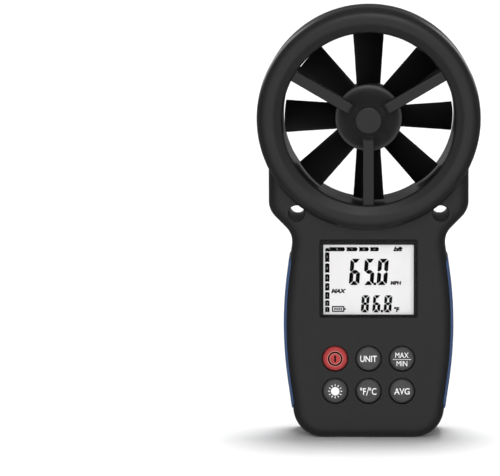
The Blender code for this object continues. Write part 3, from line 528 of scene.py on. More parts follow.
INK_BLACK = print_ink("legend_black", (0.002, 0.002, 0.002), 0.05)
INK_PINK = print_ink("legend_pink", (0.75, 0.3, 0.24))
# Black print on the window's inner face, made darker than the case to stand in for the recess's shade: print
# and painted shade.
BORDER_INK_AND_SHADE = print_ink("window_border", (0.004, 0.004, 0.004), 0.2)
# The display's pale face glows with painted light.
LCD = lcd_glass("display_painted_glow")
LCD_BLACK = print_ink("display_segments", (0.0015, 0.0015, 0.0015), 0.02)
LCD_GREY = print_ink("display_numerals", (0.4, 0.4, 0.4), 0.02)
CLEAR = clear_plastic("window_acrylic")
STEEL = metal("zinc_steel", (0.52, 0.52, 0.54), 0.32)
DARK_STEEL = metal("blackened_steel", (0.09, 0.09, 0.095), 0.4)
BRASS = metal("brass", (0.5, 0.37, 0.19), 0.36)
MAGNET = metal("sintered_magnet", (0.16, 0.16, 0.165), 0.45)
WHITE = moulded("white_moulding", (0.7, 0.7, 0.69), 0.5, 0.4)
BOARD = circuit_board("circuit_board")
CHIP = moulded("chip_resin", (0.016, 0.016, 0.017), 0.5, 0.4, grain=0.1 * MM)
JACKET = moulded("battery_jacket", (0.05, 0.052, 0.056), 0.34, 0.5, grain=0.6 * MM, depth=0.003 * MM)
WIRE_RED = moulded("lead_red", (0.5, 0.02, 0.02), 0.45, 0.4, grain=0.3 * MM)
WIRE_BLACK = moulded("lead_black", (0.015, 0.015, 0.015), 0.45, 0.4, grain=0.3 * MM)

CAD_LOOKS = {               # the nodes that stay as the CAD made them
    "rotor_shaft": STEEL, "front_bearing": BRASS, "rear_bearing": BRASS, "rotor_magnet": MAGNET,
    "speed_sensor": CHIP, "sensor_lead": WIRE_BLACK, "temperature_sensor": BRASS, "lcd_panel": LCD,
    "lcd_backlight": WHITE, "lcd_holder": WHITE, "contact_strip": MAT_RUBBER, "keypad_mat": MAT_RUBBER,
    "main_board": BOARD, "processor_chip": CHIP, "signal_chip": CHIP, "quartz_crystal": STEEL,
    "smoothing_capacitor": JACKET, "battery_tray": TRAY, "battery_lead_positive": WIRE_RED,
    "battery_lead_negative": WIRE_BLACK,
}
for key in sum(KEY_NAMES, ()):
    CAD_LOOKS[f"dome_switch_{key}"] = STEEL


def dress_cad_nodes():
    """Give every CAD node that stays a finish."""
    for name, look in CAD_LOOKS.items():
        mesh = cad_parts[name].data
        mesh.materials.clear()
        mesh.materials.append(look)
        mesh.shade_smooth()
        mesh.set_sharp_from_angle(angle=math.radians(30))


# ---------------------------------------------------------------- case

def seam_step(y_parting, ahead):
    """(inset, y) of the groove along the parting line; the halves meet behind it."""
    lip = y_parting - ahead * 0.14 * MM
    return [(0.25 * MM, lip), (0.7 * MM, lip), (0.7 * MM, y_parting)]


def rim_stack(y_face, y_parting, radius):
    """(inset, y) from a flat face round its rim to the chamfered parting edge."""
    ahead = 1 if y_parting > y_face else -1
    stack = [(radius - x, y_face + ahead * (radius - y)) for y, x in arc(0, 0, radius, radius, 0, 90, 12)]
    return stack + [(0.0, y_parting - ahead * SEAM_CHAMFER)] + seam_step(y_parting, ahead)


def flare_stack(y_mouth, y_end, flare, steps):
    """(growth, y) of a cutter whose mouth flares where it meets the surface."""
    inward = 1 if y_end > y_mouth else -1
    stack = [(0.0, y_end)]
    stack += [(flare - x, y_mouth + inward * (flare - y)) for x, y in arc(0, 0, flare, flare, 0, 80, steps)]
    return stack + [(2 * flare, y_mouth - inward * 4 * MM)]


def flared(radius, y_mouth, y_end, flare):
    """Profile of a round cutter with a flared mouth."""
    stack = flare_stack(y_mouth, y_end, flare, 5)
    return [(0.0, y_end)] + [(radius + growth, y) for growth, y in stack] + [(0.0, stack[-1][1])]


def side_frame(z):
    """Point and outward normal of the handle's right side at a height."""
    points = HALF_OUTLINE[1:-1]
    for low, high in zip(points, points[1:]):
        if low.y <= z <= high.y and high.y > low.y:
            t = (z - low.y) / (high.y - low.y)
            break
    along = (high - low).normalized()
    return low.lerp(high, t), Vector((along.y, -along.x))


def grip_section(s):
    """Inset, depth and normal of the handle's skin at arc length s behind the grip's front edge."""
    lean = math.asin((FRONT_Y + RIM_ROUND - GRIP_Y[0] - GRIP_PROUD) / RIM_ROUND)
    curved = lean * RIM_ROUND
    if s < curved:
        a = lean - s / RIM_ROUND
        return RIM_ROUND * (1 - math.cos(a)), FRONT_Y + RIM_ROUND - RIM_ROUND * math.sin(a), a
    return 0.0, FRONT_Y + RIM_ROUND + s - curved, 0.0


def rim_of(sheet):
    """The outer vertices of a grid, in order round it."""
    return sheet[0] + [row[-1] for row in sheet[1:]] + sheet[-1][-2::-1] + [row[0] for row in sheet[-2:0:-1]]


def add_grip_skin(bm, sign, sink, top):
    """A sheet that follows the handle's side; top(v, edge_u, edge_v) gives its height over the skin."""
    width = grip_section(0.0)[2] * RIM_ROUND + GRIP_Y[1] - FRONT_Y - RIM_ROUND
    height = GRIP_Z[1] - GRIP_Z[0]
    columns, rows = 56, 150
    sheets = ([], [])
    for i in range(rows + 1):
        up = height * i / rows
        point, normal = side_frame(GRIP_Z[0] + up)
        lines = ([], [])
        for j in range(columns + 1):
            s = width * j / columns
            inset, y, lean = grip_section(s)
            out = Vector((normal.x * math.cos(lean), -math.sin(lean), normal.y * math.cos(lean)))
            base = Vector((point.x - normal.x * inset, y, point.y - normal.y * inset))
            lift = top(up / height, min(s, width - s), min(up, height - up))
            for line, reach in zip(lines, (lift, -sink)):
                spot = base + out * reach
                line.append(bm.verts.new((sign * spot.x, spot.y, spot.z)))
        for sheet, line in zip(sheets, lines):
            sheet.append(line)
    for sheet, flip in zip(sheets, (False, True)):
        for a, b in zip(sheet, sheet[1:]):
            for j in range(columns):
                quad = (a[j], a[j + 1], b[j + 1], b[j])
                bm.faces.new(reversed(quad) if flip else quad)
    border, under = [rim_of(sheet) for sheet in sheets]
    for i in range(len(border)):
        j = (i + 1) % len(border)
        bm.faces.new((border[i], under[i], under[j], border[j]))


def corner_distance(edge_u, edge_v, radius):
    """Distance to the edge of a rectangle whose corners have this radius."""
    if edge_u < radius and edge_v < radius:
        return radius - math.hypot(radius - edge_u, radius - edge_v)
    return min(edge_u, edge_v)


def grip_top(v, edge_u, edge_v):
    """Height of a grip over the case: rounded border, then rows of shallow ribs."""
    inside = corner_distance(edge_u, edge_v, 3.5 * MM)
    if inside <= 0.0:
        return -0.6 * MM
    lift = -0.3 * MM + (GRIP_PROUD + 0.3 * MM) * math.sqrt(1 - (1 - min(inside / (0.8 * MM), 1.0)) ** 2)
    field = blend(0.0, 1.0, (min(edge_u, edge_v * 0.35) - 2.6 * MM) / (1.2 * MM))
    wave = 0.5 - 0.5 * math.cos(2 * math.pi * v * GRIP_RIBS)
    return lift - field * 0.38 * MM * wave ** 3


def build_grips():
    for sign, side in ((-1, "left"), (1, "right")):
        skin = form(add_grip_skin, sign, GRIP_SINK - 0.1 * MM, grip_top)
        grip = make(f"side_grip_{side}", skin, GRIP, smooth=60)
        place(grip, "meter", "grip_blue", f"grip_{side}")


def case_hollow(bm, y_face, y_parting):
    """Room inside one half of the case, as a coarse block that stops short of the ring."""
    ahead = 1 if y_parting > y_face else -1
    stack = [(WALL + 2 * MM, y_face + ahead * WALL), (WALL + 0.4 * MM, y_face + ahead * (WALL + 2 * MM)),
             (WALL, y_parting + ahead * 2 * MM)]
    add_loft(bm, [[(p.x, y, min(p.y, 78 * MM)) for p in outline(inset)] for inset, y in stack])


def case_half(name, y_face, y_parting, barrel):
    """Handle block joined to its half of the ring's barrel, bored for the duct and the strap."""
    half = make(name, form(add_loft, handle_rings(rim_stack(y_face, y_parting, RIM_ROUND))), CASE)
    combine(half, form(add_lathe, barrel, steps=180, closed=True), "UNION")
    bm = bmesh.new()
    add_lathe(bm, disc(DUCT_R + DUCT_WALL + GAP, -FAR, FAR), steps=144)
    strap_hole = flared(STRAP_HOLE_R, y_face, y_parting + (y_parting - y_face) * 0.2, 0.45 * MM)
    for x in (-STRAP_HOLE[0], STRAP_HOLE[0]):
        add_lathe(bm, strap_hole, x, STRAP_HOLE[1], 48)
    return combine(half, bm)


def build_front_case():
    """Front half with the window recess, the screen opening and six flared key holes."""
    edge = PARTING_Y - SEAM_GAP
    barrel_y = FRONT_Y + GAP
    seat_y = FRONT_Y - GAP + 2 * SEAM_GAP
    barrel = [(20 * MM, seat_y), (BARREL_R - 0.9 * MM, seat_y), (BARREL_R - 0.9 * MM, barrel_y)]
    barrel += [(BARREL_R - 0.4 * MM, barrel_y), (BARREL_R, barrel_y + 0.4 * MM)]
    barrel += [(BARREL_R, edge - SEAM_CHAMFER)]
    barrel += [(BARREL_R - inset, y) for inset, y in seam_step(edge, 1)] + [(20 * MM, edge)]
    half = case_half("front_shell", FRONT_Y, edge, barrel)
    bm = bmesh.new()
    mouth = flare_stack(FRONT_Y, FRONT_Y + BEZEL_DEPTH, 0.3 * MM, 4)
    pillow(bm, (-BEZEL_HALF_W, BEZEL_HALF_W), BEZEL_Z, 0.9 * MM, [(-growth, y) for growth, y in mouth])
    for name in sum(KEY_NAMES, ()):
        spot = middle(f"button_{name}")
        add_lathe(bm, flared(KEY_HOLE_R, FRONT_Y, FRONT_Y + 6 * MM, 0.3 * MM), spot.x, spot.z, 64)
    combine(half, bm)
    cut_box(half, (-SCREEN_HALF_W, SCREEN_HALF_W), (FRONT_Y - 5 * MM, FRONT_Y + 6 * MM), SCREEN_Z)
    combine(half, form(case_hollow, FRONT_Y, edge))
    even_normals(half)
    place(half, "meter", "case_black", "front_case")


def build_rear_case():
    """Rear half with the battery opening and six screw holes."""
    edge = PARTING_Y + SEAM_GAP
    back = BACK_Y - GAP
    barrel = [(20 * MM, edge)] + [(BARREL_R - inset, y) for inset, y in reversed(seam_step(edge, -1))]
    barrel += [(BARREL_R, edge + SEAM_CHAMFER)]
    barrel += arc(BARREL_R - 6 * MM, back - 6 * MM, 6 * MM, 6 * MM, 0, 90, 12)
    barrel += [(20 * MM, back)]
    half = case_half("rear_shell", BACK_Y, edge, barrel)
    bm = bmesh.new()
    pillow(bm, (DOOR_LO.x - GAP, DOOR_HI.x + GAP), (DOOR_LO.z - GAP, DOOR_HI.z + GAP), 1.2 * MM,
           [(0.0, BACK_Y - 2 * WALL), (0.0, BACK_Y - 0.25 * MM), (-0.25 * MM, BACK_Y), (-0.25 * MM, FAR)])
    hole = disc(SCREW_HOLE_R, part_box("screw_ring_left")[1].y - 1.5 * MM, FAR)
    for where in CASE_SCREWS:
        spot = middle(f"screw_{where}")
        add_lathe(bm, hole, spot.x, spot.z, 32)
    combine(half, bm)
    combine(half, form(case_hollow, BACK_Y, edge))
    even_normals(half)
    place(half, "meter", "case_black", "rear_case")


# ---------------------------------------------------------------- wind ring

def add_arms(bm, stations):
    """Three arms along radii; stations are (radius, front y, back y, half width, rounding)."""
    for angle in SPOKE_ANGLES:
        turn = Matrix.Rotation(-math.radians(angle), 3, "Y")
        rings = []
        for r, y_front, y_back, half_w, fillet in stations:
            shape = round_rect((y_front, y_back), (-half_w, half_w), fillet, 5)
            rings.append([turn @ Vector((r, y, t)) + Vector((0.0, 0.0, AXIS_Z)) for y, t in shape])
        add_loft(bm, rings)


def front_arm_stations():
    """The front arms slope back from the hub to the rim."""
    stations = []
    for i in range(34):
        r = (5.0 + i * 0.88) * MM
        t = min(max((r - 6 * MM) / (27 * MM), 0.0), 1.0)
        front = blend(-13.6 * MM, (-14.9 + 1.95 * t) * MM, (r - 5.6 * MM) / (3.4 * MM))
        stations.append((r, front, (-9.5 + t) * MM, SPOKE_W / 2, 0.35 * MM))
    return stations


def rear_arm_stations():
    """The rear arms widen a little at the boss and at the rim."""
    stations = []
    for i in range(34):
        r = (3.0 + i * 0.93) * MM
        at_boss = min(max(0.0, 1 - (r - 11 * MM) / (2.5 * MM)) ** 2 * 0.8, 1.0) * MM
        at_rim = max(0.0, (r - 30 * MM) / (3.6 * MM)) ** 2 * MM
        stations.append((r, (11 + 0.5 * i / 33) * MM, 16 * MM, SPOKE_W / 2 + at_boss + at_rim, 0.6 * MM))
    return stations


def lip_profile():
    """Rounded lip, hollow behind, that runs into the front half of the duct."""
    inner_r = DUCT_R + DUCT_WALL
    edge = PARTING_Y - GAP / 2
    back = FRONT_Y - GAP
    profile = arc(CROWN_R, -11 * MM, RING_R - CROWN_R, 5 * MM, -90, 0, 20)
    profile += arc(RING_R - 0.35 * MM, back - 0.35 * MM, 0.35 * MM, 0.35 * MM, 0, 90, 4)
    profile += [(RING_R - 2 * MM, back), (RING_R - 2 * MM, -11.5 * MM), (CROWN_R, -14 * MM)]
    profile += [(inner_r, -11 * MM), (inner_r, edge), (DUCT_R, edge)]
    mouth = mm((0.0, -13.0), (0.05, -13.4), (0.2, -13.8), (0.42, -14.1), (0.7, -14.3))
    profile += [(DUCT_R + step, y) for step, y in mouth]
    return profile + arc(CROWN_R - 0.6 * MM, -13.0 * MM, 3.0 * MM, 3.0 * MM, 237, 270, 8)


def cone_profile():
    """Nose cone, steepest at its rim, with its flat tip in front and the hub's room behind."""
    profile = [(0.0, CONE_TIP_Y), (4.2 * MM, CONE_TIP_Y), (5.2 * MM, -16.9 * MM)]
    for i in range(25):
        t = i / 24
        profile.append(((5.5 + 6.6 * t) * MM, (-16.2 + 8.6 * (1 - (1 - t) ** 1.45)) * MM))
    rim_r = HUB_R - 0.1 * MM
    profile += [(HUB_R - 0.25 * MM, -7.5 * MM), (rim_r, -7.3 * MM), (rim_r, -4.4 * MM)]
    return profile + [(HUB_R - 1.7 * MM, -4.4 * MM), (4.4 * MM, -10.4 * MM), (0.0, -10.4 * MM)]


def finish_duct(ring):
    """Give the duct's smooth inner wall its own finish, and the nose cone a lighter copy of the ring's
    plastic as painted light.
    """
    ring.data.materials.append(DUCT)
    ring.data.materials.append(CONE)
    for face in ring.data.polygons:
        spot = face.center
        reach = math.hypot(spot.x, spot.z - AXIS_Z)
        if abs(reach - DUCT_R) < 0.6 * MM and abs(face.normal.y) < 0.6:
            face.material_index = 1
        outward = (face.normal.x * spot.x + face.normal.z * (spot.z - AXIS_Z)) / max(reach, MM)
        # Painted light: the cone's faces take the lighter cone material, though they are the ring's own
        # plastic.
        if reach < HUB_R and outward > 0.2:
            face.material_index = 2


def build_vane_ring_front():
    """Lip, front half of the duct, three arms and the fixed nose cone, in one moulding."""
    ring = make("wind_ring_front", form(add_lathe, lip_profile(), steps=192, closed=True), RING)
    combine(ring, form(add_arms, front_arm_stations()), "UNION")
    combine(ring, form(add_lathe, cone_profile(), steps=96), "UNION")
    cut_rod(ring, BEARING_SEAT_R, -11.4 * MM, -FAR)
    cut_rod(ring, PIN_HOLE_R, -5 * MM, -20 * MM, steps=32)
    finish_duct(ring)
    even_normals(ring)
    place(ring, "meter", "case_black", "vane_ring_front")


def build_nose_cap():
    """Round cap with a softly chamfered rim that sits on the tip of the cone."""
    radius = CAP_HI.x
    front = CAP_LO.y
    back = CONE_TIP_Y - 0.05 * MM
    profile = [(0.0, front + 0.05 * MM), (radius - 1.6 * MM, front)]
    profile += arc(radius - 0.9 * MM, front + 0.9 * MM, 0.9 * MM, 0.9 * MM, -75, 0, 8)
    profile += [(radius, back), (2.2 * MM, back), (2.2 * MM, CAP_HI.y), (0.0, CAP_HI.y)]
    cap = make("nose_cap_round", form(add_lathe, profile, steps=72), RING)
    place(cap, "meter", "case_black", "nose_cap")


def build_vane_ring_rear():
    """Rear half of the duct, three arms and the boss that carries the rear bearing."""
    inner_r = DUCT_R + DUCT_WALL
    edge = PARTING_Y + GAP / 2
    rim = DUCT_HI.y
    profile = [(DUCT_R, edge), (inner_r, edge), (inner_r, rim - 0.3 * MM), (inner_r - 0.3 * MM, rim)]
    profile += arc(inner_r, rim - 2.1 * MM, -DUCT_WALL, 2.0 * MM, 78, 0, 10)
    ring = make("wind_ring_rear", form(add_lathe, profile, steps=192, closed=True), RING)
    combine(ring, form(add_arms, rear_arm_stations()), "UNION")
    boss = mm((0, 10), (10.5, 10), (11, 10.5), (11, 14.6))
    boss += arc(9.4 * MM, 14.6 * MM, 1.6 * MM, 1.9 * MM, 0, 85, 10)
    boss += mm((8.2, 16.55), (7.8, 16.1), (7.2, 16.1), (6.8, 16.75), (3, 17), (0, 17))
    combine(ring, form(add_lathe, boss, steps=96), "UNION")
    cut_rod(ring, BEARING_SEAT_R, 5 * MM, 13.4 * MM)
    sensor_pocket, lead_channel, lead_notch = (2.6, 5, -10, -5), (0.9, 5, -31, -9), (0.9, 11.2, -40, -30)
    for half_w, front, low, high in mm(sensor_pocket, lead_channel, lead_notch):
        cut_box(ring, (-half_w, half_w), (front, 13 * MM), (AXIS_Z + low, AXIS_Z + high))
    finish_duct(ring)
    even_normals(ring)
    place(ring, "meter", "case_black", "vane_ring_rear")


# ---------------------------------------------------------------- rotor

def add_blade(bm, index):
    """One pitched blade with rounded edges, lofted from its root in the hub to its curved tip."""
    stations, chordwise = 14, 14
    root_r = HUB_R - 1.2 * MM
    turn = Matrix.Rotation(2 * math.pi * index / BLADES, 3, "Y")
    rings = []
    for i in range(stations + 1):
        s = i / stations
        r = root_r + (TIP_R - root_r) * s
        half_w = (4.5 + 1.35 * s) * MM
        rise = (4.5 - 0.5 * s) * MM
        thick = (0.7 - 0.3 * s) * MM
        ring = []
        for side, steps in ((-1, range(chordwise + 1)), (1, range(chordwise, -1, -1))):
            for j in steps:
                u = -math.cos(math.pi * j / chordwise)
                body = math.sqrt(max(0.0, 1 - u ** 6)) * 0.9 + 0.06
                across = u * half_w
                back = BLADE_MIDDLE_Y + u * rise - (1 - u * u) * 0.5 * MM + side * thick * body
                tip_r = math.sqrt(max(r * r - across * across, 0.0)) if s > 0.8 else r
                ring.append(turn @ Vector((across, back, tip_r)) + Vector((0.0, 0.0, AXIS_Z)))
        rings.append(ring)
    add_loft(bm, rings)


def build_rotor():
    """Wind wheel with eight blades."""
    rim_r, core_r, bore = HUB_R - 1.6 * MM, 3.2 * MM, PIN_HOLE_R
    front, web, back = -4.1 * MM, 4.4 * MM, 6.8 * MM
    profile = [(bore, -1.1 * MM), (core_r - 0.2 * MM, -1.1 * MM), (core_r, -0.9 * MM)]
    profile += [(core_r, web - 0.4 * MM), (core_r + 0.4 * MM, web), (rim_r - 0.4 * MM, web)]
    profile += [(rim_r, web - 0.4 * MM), (rim_r, front + 0.2 * MM), (rim_r + 0.2 * MM, front)]
    profile += [(HUB_R - 0.3 * MM, front), (HUB_R, front + 0.3 * MM), (HUB_R, back - 0.4 * MM)]
    profile += [(HUB_R - 0.4 * MM, back), (bore, back)]
    wheel = make("wind_wheel", form(add_lathe, profile, steps=96, closed=True), BLADE)
    bm = bmesh.new()
    for index in range(BLADES):
        add_blade(bm, index)
    combine(wheel, bm, "UNION")
    even_normals(wheel)
    place(wheel, "rotor", "rotor_black", "impeller")


# ---------------------------------------------------------------- display

SEGMENTS = {"0": "abcdef", "5": "acdfg", "6": "acdefg", "8": "abcdefg"}
SCREEN_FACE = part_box("lcd_panel")[0].y
SEGMENT_GAP = 0.07 * MM


def segment_shapes(w, h, s):
    """Outlines of the seven bars of a digit w wide and h tall, with bars s thick."""
    mid = h / 2
    cut = s * 0.35
    g = SEGMENT_GAP
    top = ((0, h - cut - g), (cut, h - cut - g), (s, h - s - g), (s, mid + s / 2 + g), (cut, mid + g),
           (0, mid + cut))
    low = ((0, mid - cut), (cut, mid - g), (s, mid - s / 2 - g), (s, s + g), (cut, cut + g), (0, cut + g))
    return {
        "a": ((cut, h), (w - cut, h), (w - s - g, h - s), (s + g, h - s)),
        "d": ((cut, 0), (s + g, s), (w - s - g, s), (w - cut, 0)),
        "g": ((cut + g, mid), (s + g, mid + s / 2), (w - s - g, mid + s / 2), (w - cut - g, mid),
              (w - s - g, mid - s / 2), (s + g, mid - s / 2)),
        "f": top,
        "e": low,
        "b": tuple((w - x, z) for x, z in top),
        "c": tuple((w - x, z) for x, z in low),
    }


def on_screen(u, v):
    """Place on the visible screen, from its left edge and its top edge, as fractions."""
    return (2 * u - 1) * SCREEN_HALF_W, SCREEN_Z[1] - v * (SCREEN_Z[1] - SCREEN_Z[0])


def add_mark(bm, points):
    """A printed patch on the screen."""
    add_plate(bm, points, SCREEN_FACE - 0.03 * MM, SCREEN_FACE - 0.01 * MM)


def add_number(bm, figures, v, w, h, stroke):
    """Slanted seven-segment figures at (u, figure), with their feet at v on the screen."""
    for u, figure in figures:
        x0, z0 = on_screen(u, v)
        shapes = segment_shapes(w, h, stroke)
        for bar in SEGMENTS[figure]:
            add_mark(bm, [(x0 + x + z * 0.075, z0 + z) for x, z in shapes[bar]])


def add_panel(bm, u0, v0, u1, v1, tip, upright=False):
    """A bar of the wind-force scale: a block with an arrow-shaped end and a notch at the other."""
    x0, z1 = on_screen(u0, v0)
    x1, z0 = on_screen(u1, v1)
    mid_x, mid_z = (x0 + x1) / 2, (z0 + z1) / 2
    notch = tip * 0.6
    if upright:
        points = [(x0, z0), (mid_x, z0 + notch), (x1, z0), (x1, z1 - tip), (mid_x + tip, z1)]
        points += [(mid_x - tip, z1), (x0, z1 - tip)]
    else:
        points = [(x0, z0), (x1 - tip, z0), (x1, mid_z), (x1 - tip, z1), (x0, z1), (x0 + notch, mid_z)]
    add_mark(bm, points)


def text_mesh(name, words, height, centre, face, depth, finish, condense=1.0, shear=0.0, bold=0.0):
    """Printed words as a thin mesh, centred on (x, z) and standing depth proud of y = face."""
    curve = bpy.data.curves.new(name, "FONT")
    curve.body = words
    curve.align_x = "CENTER"
    curve.align_y = "CENTER"
    curve.shear = shear
    curve.extrude = 0.01
    curve.offset = bold
    curve.resolution_u = 6
    obj = bpy.data.objects.new(name, curve)
    bpy.context.scene.collection.objects.link(obj)
    bpy.context.view_layer.update()
    mesh = bpy.data.meshes.new_from_object(obj.evaluated_get(bpy.context.evaluated_depsgraph_get()))
    bpy.data.objects.remove(obj, do_unlink=True)
    xs = [v.co.x for v in mesh.vertices]
    ys = [v.co.y for v in mesh.vertices]
    size = height / (max(ys) - min(ys))
    mid_x, mid_y = (max(xs) + min(xs)) / 2, (max(ys) + min(ys)) / 2
    for v in mesh.vertices:
        x, z, lift = v.co
        v.co = (centre[0] + (x - mid_x) * size * condense, face - (depth if lift > 0 else 0.0),
                centre[1] + (z - mid_y) * size)
    mesh.flip_normals()
    mesh.materials.clear()
    mesh.materials.append(finish)
    made = bpy.data.objects.new(name, mesh)
    bpy.context.scene.collection.objects.link(made)
    return made


def screen_text(name, words, u, v, height, condense, shear, bold):
    """Dark lettering on the screen."""
    face = SCREEN_FACE - 0.01 * MM
    made = text_mesh(name, words, height, on_screen(u, v), face, 0.02 * MM, LCD_BLACK, condense, shear, bold)
    place(made, "meter", "lcd")


def scale_number(number, u, v, height):
    """A pale numeral on a bar of the wind-force scale."""
    name = f"display_force_{number}"
    face = SCREEN_FACE - 0.032 * MM
    made = text_mesh(name, str(number), height, on_screen(u, v), face, 0.02 * MM, LCD_GREY, 0.85)
    place(made, "meter", "lcd")


# Wind-force scale: top and height of bars 1 to 7, then left and right of bars 8 to 11
FORCE_COLUMN = (
    (0.893, 0.078), (0.799, 0.084), (0.680, 0.104), (0.553, 0.110), (0.425, 0.110), (0.272, 0.135),
    (0.114, 0.140),
)
FORCE_ROW = ((0.062, 0.242), (0.252, 0.380), (0.392, 0.506), (0.514, 0.618))


def add_force_scale(bm):
    """Eleven bars up the screen's left side and along its top, joined by a corner piece."""
    for top, height in FORCE_COLUMN:
        add_panel(bm, 0.019, top, 0.067, top + height, 0.22 * MM, upright=True)
    add_panel(bm, 0.021, 0.052, 0.067, 0.108, 0.4 * MM, upright=True)
    for left, right in FORCE_ROW:
        add_panel(bm, left, 0.042, right, 0.100, 0.45 * MM)


def add_battery_mark(bm):
    """Outline of a battery with its terminal and four charge bars."""
    x0, z1 = on_screen(0.095, 0.882)
    x1, z0 = on_screen(0.218, 0.965)
    wall = 0.46 * MM
    boxes = [(x0, x1, z1 - wall, z1), (x0, x1, z0, z0 + wall), (x0, x0 + wall, z0, z1)]
    boxes.append((x1, x1 + wall, z0, z1))
    boxes.append((x1 + wall, x1 + 2.2 * wall, z0 + 0.8 * MM, z1 - 0.8 * MM))
    for i in range(4):
        x = x0 + 0.85 * MM + i * 0.8 * MM
        boxes.append((x, x + 0.55 * MM, z0 + 0.66 * MM, z1 - 0.66 * MM))
    for left, right, low, high in boxes:
        add_mark(bm, [(left, low), (right, low), (right, high), (left, high)])


def build_screen_art():
    """Figures, wind-force scale, battery mark and units on the display."""
    bm = bmesh.new()
    add_number(bm, ((0.280, "6"), (0.438, "5"), (0.587, "0")), 0.582, 4.0 * MM, 10.1 * MM, 1.52 * MM)
    add_number(bm, ((0.413, "8"), (0.540, "6"), (0.665, "8")), 0.972, 2.95 * MM, 6.6 * MM, 1.14 * MM)
    for u, v, r in ((0.569, 0.564, 0.52 * MM), (0.648, 0.954, 0.46 * MM)):
        x, z = on_screen(u, v)
        add_mark(bm, round_rect((x - r, x + r), (z - r, z + r), 0.15 * MM, 3))
    add_force_scale(bm)
    add_battery_mark(bm)
    place(make("display_segments", bm, LCD_BLACK), "meter", "lcd")
    screen_text("display_bft", "bft", 0.826, 0.068, 1.8 * MM, 1.3, 0.3, 0.07)
    screen_text("display_mph", "MPH", 0.802, 0.552, 1.5 * MM, 1.05, 0.1, 0.06)
    screen_text("display_max", "MAX", 0.170, 0.667, 1.65 * MM, 1.15, 0.3, 0.07)
    screen_text("display_degree", "°F", 0.812, 0.930, 2.0 * MM, 0.98, 0.1, 0.065)
    for number, (top, height) in enumerate(FORCE_COLUMN, 1):
        scale_number(number, 0.043, top + height / 2, 0.85 * MM)
    for number, (left, right) in enumerate(FORCE_ROW, 1 + len(FORCE_COLUMN)):
        scale_number(number, (left + right) / 2, 0.0715, 0.7 * MM)


def build_window():
    """Clear window with a dark border printed round the screen on its inner face; the border's black is
    deepened as painted shade of the recess.
    """
    front, back = WINDOW_LO.y, WINDOW_HI.y
    xs, zs = (WINDOW_LO.x, WINDOW_HI.x), (WINDOW_LO.z, WINDOW_HI.z)
    corner = 0.7 * MM
    stack = [(0.0, back - 0.02 * MM), (0.0, front + 0.25 * MM), (0.25 * MM, front)]
    clear = make("window_clear", form(pillow, xs, zs, corner, stack), CLEAR)
    place(clear, "meter", "clear_window", "display_window")
    outer = round_rect(xs, zs, corner)
    inner = round_rect((-SCREEN_HALF_W, SCREEN_HALF_W), SCREEN_Z, 0.25 * MM)
    under = back + 0.1 * MM
    rings = [[(x, y, z) for x, z in shape]
             for shape, y in ((outer, back), (inner, back), (inner, under), (outer, under))]
    border = make("window_border_ink_and_shade", form(add_loft, rings, caps=False, closed=True), BORDER_INK_AND_SHADE)
    place(border, "meter", "case_black")


# ---------------------------------------------------------------- keys

MARK_DEPTH = 0.2 * MM       # printed marks reach this far into a key
MARK_Y = (-0.01 * MM, MARK_DEPTH)


def dome(reach):
    """How far the top of a key lies behind its crown, at a distance from its centre."""
    return 0.16 * MM * (reach / KEY_TOP_R) ** 2


def key_centre(name):
    """Centre (x, z) of a key, and the y of its crown."""
    spot = middle(f"button_{name}")
    return spot.x, spot.z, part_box(f"button_{name}")[0].y


def build_key(name):
    """A key cap with a crowned top and a rounded shoulder, on its flange and stem."""
    x, z, crown = key_centre(name)
    flange = FRONT_Y + WALL + GAP
    back = flange + 0.8 * MM
    flange_r, stem_r = 6.0 * MM, 1.5 * MM
    profile = [(0.0, crown)]
    for i in range(1, 9):
        reach = KEY_TOP_R * i / 8
        profile.append((reach, crown + dome(reach)))
    side = KEY_R - KEY_TOP_R
    profile += arc(KEY_TOP_R, crown + dome(KEY_TOP_R) + side * 0.85, side, side * 0.85, -78, 0, 12)
    profile += [(KEY_R, flange), (flange_r, flange), (flange_r, back), (stem_r, back)]
    stem_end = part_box(f"button_{name}")[1].y
    profile += [(stem_r, stem_end), (0.0, stem_end)]
    look, slot = (KEY_RED, "key_red") if name == "power" else (KEY_GREY, "key_grey")
    cap = make(f"key_cap_{name}", form(add_lathe, profile, x, z, 64), look)
    place(cap, f"key_{name}", slot, f"button_{name}")


def key_text(key, name, words, height, condense, dx=0.0, dz=0.0, bold=0.012):
    """White lettering that follows the crown of a key."""
    x, z, crown = key_centre(key)
    made = text_mesh(f"legend_{name}", words, height, (x + dx, z + dz), crown, 0.03 * MM, INK_WHITE,
                     condense, bold=bold)
    for v in made.data.vertices:
        v.co.y += dome(math.hypot(v.co.x - x, v.co.z - z))
    place(made, f"key_{key}", "white_plastic")


def key_mark(key, name, bm, look=None, slot="white_plastic"):
    """Put a printed mark, drawn round the origin with its front at y = 0, on a key's crown."""
    x, z, crown = key_centre(key)
    bmesh.ops.translate(bm, vec=(x, crown, z), verts=bm.verts)
    place(make(f"legend_{name}", bm, look or INK_WHITE), f"key_{key}", slot)


def power_mark():
    """A ring with an upright bar, in black with a pale outline."""
    layers = (("outline", INK_PINK, 0.15 * MM, 0.04 * MM), ("mark", INK_BLACK, 0.0, 0.0))
    for name, look, grow, front in layers:
        inner, outer = 2.13 * MM - grow, 2.82 * MM + grow
        half_w, half_h = 0.34 * MM + grow, 1.25 * MM + grow
        ring = [(inner, front), (outer, front), (outer, MARK_DEPTH), (inner, MARK_DEPTH)]
        bm = form(add_lathe, ring, z=0.0, steps=48, closed=True)
        add_box(bm, (-half_w, half_w), (front, MARK_DEPTH), (-half_h, half_h))
        key_mark("power", f"power_{name}", bm, look, "key_red")


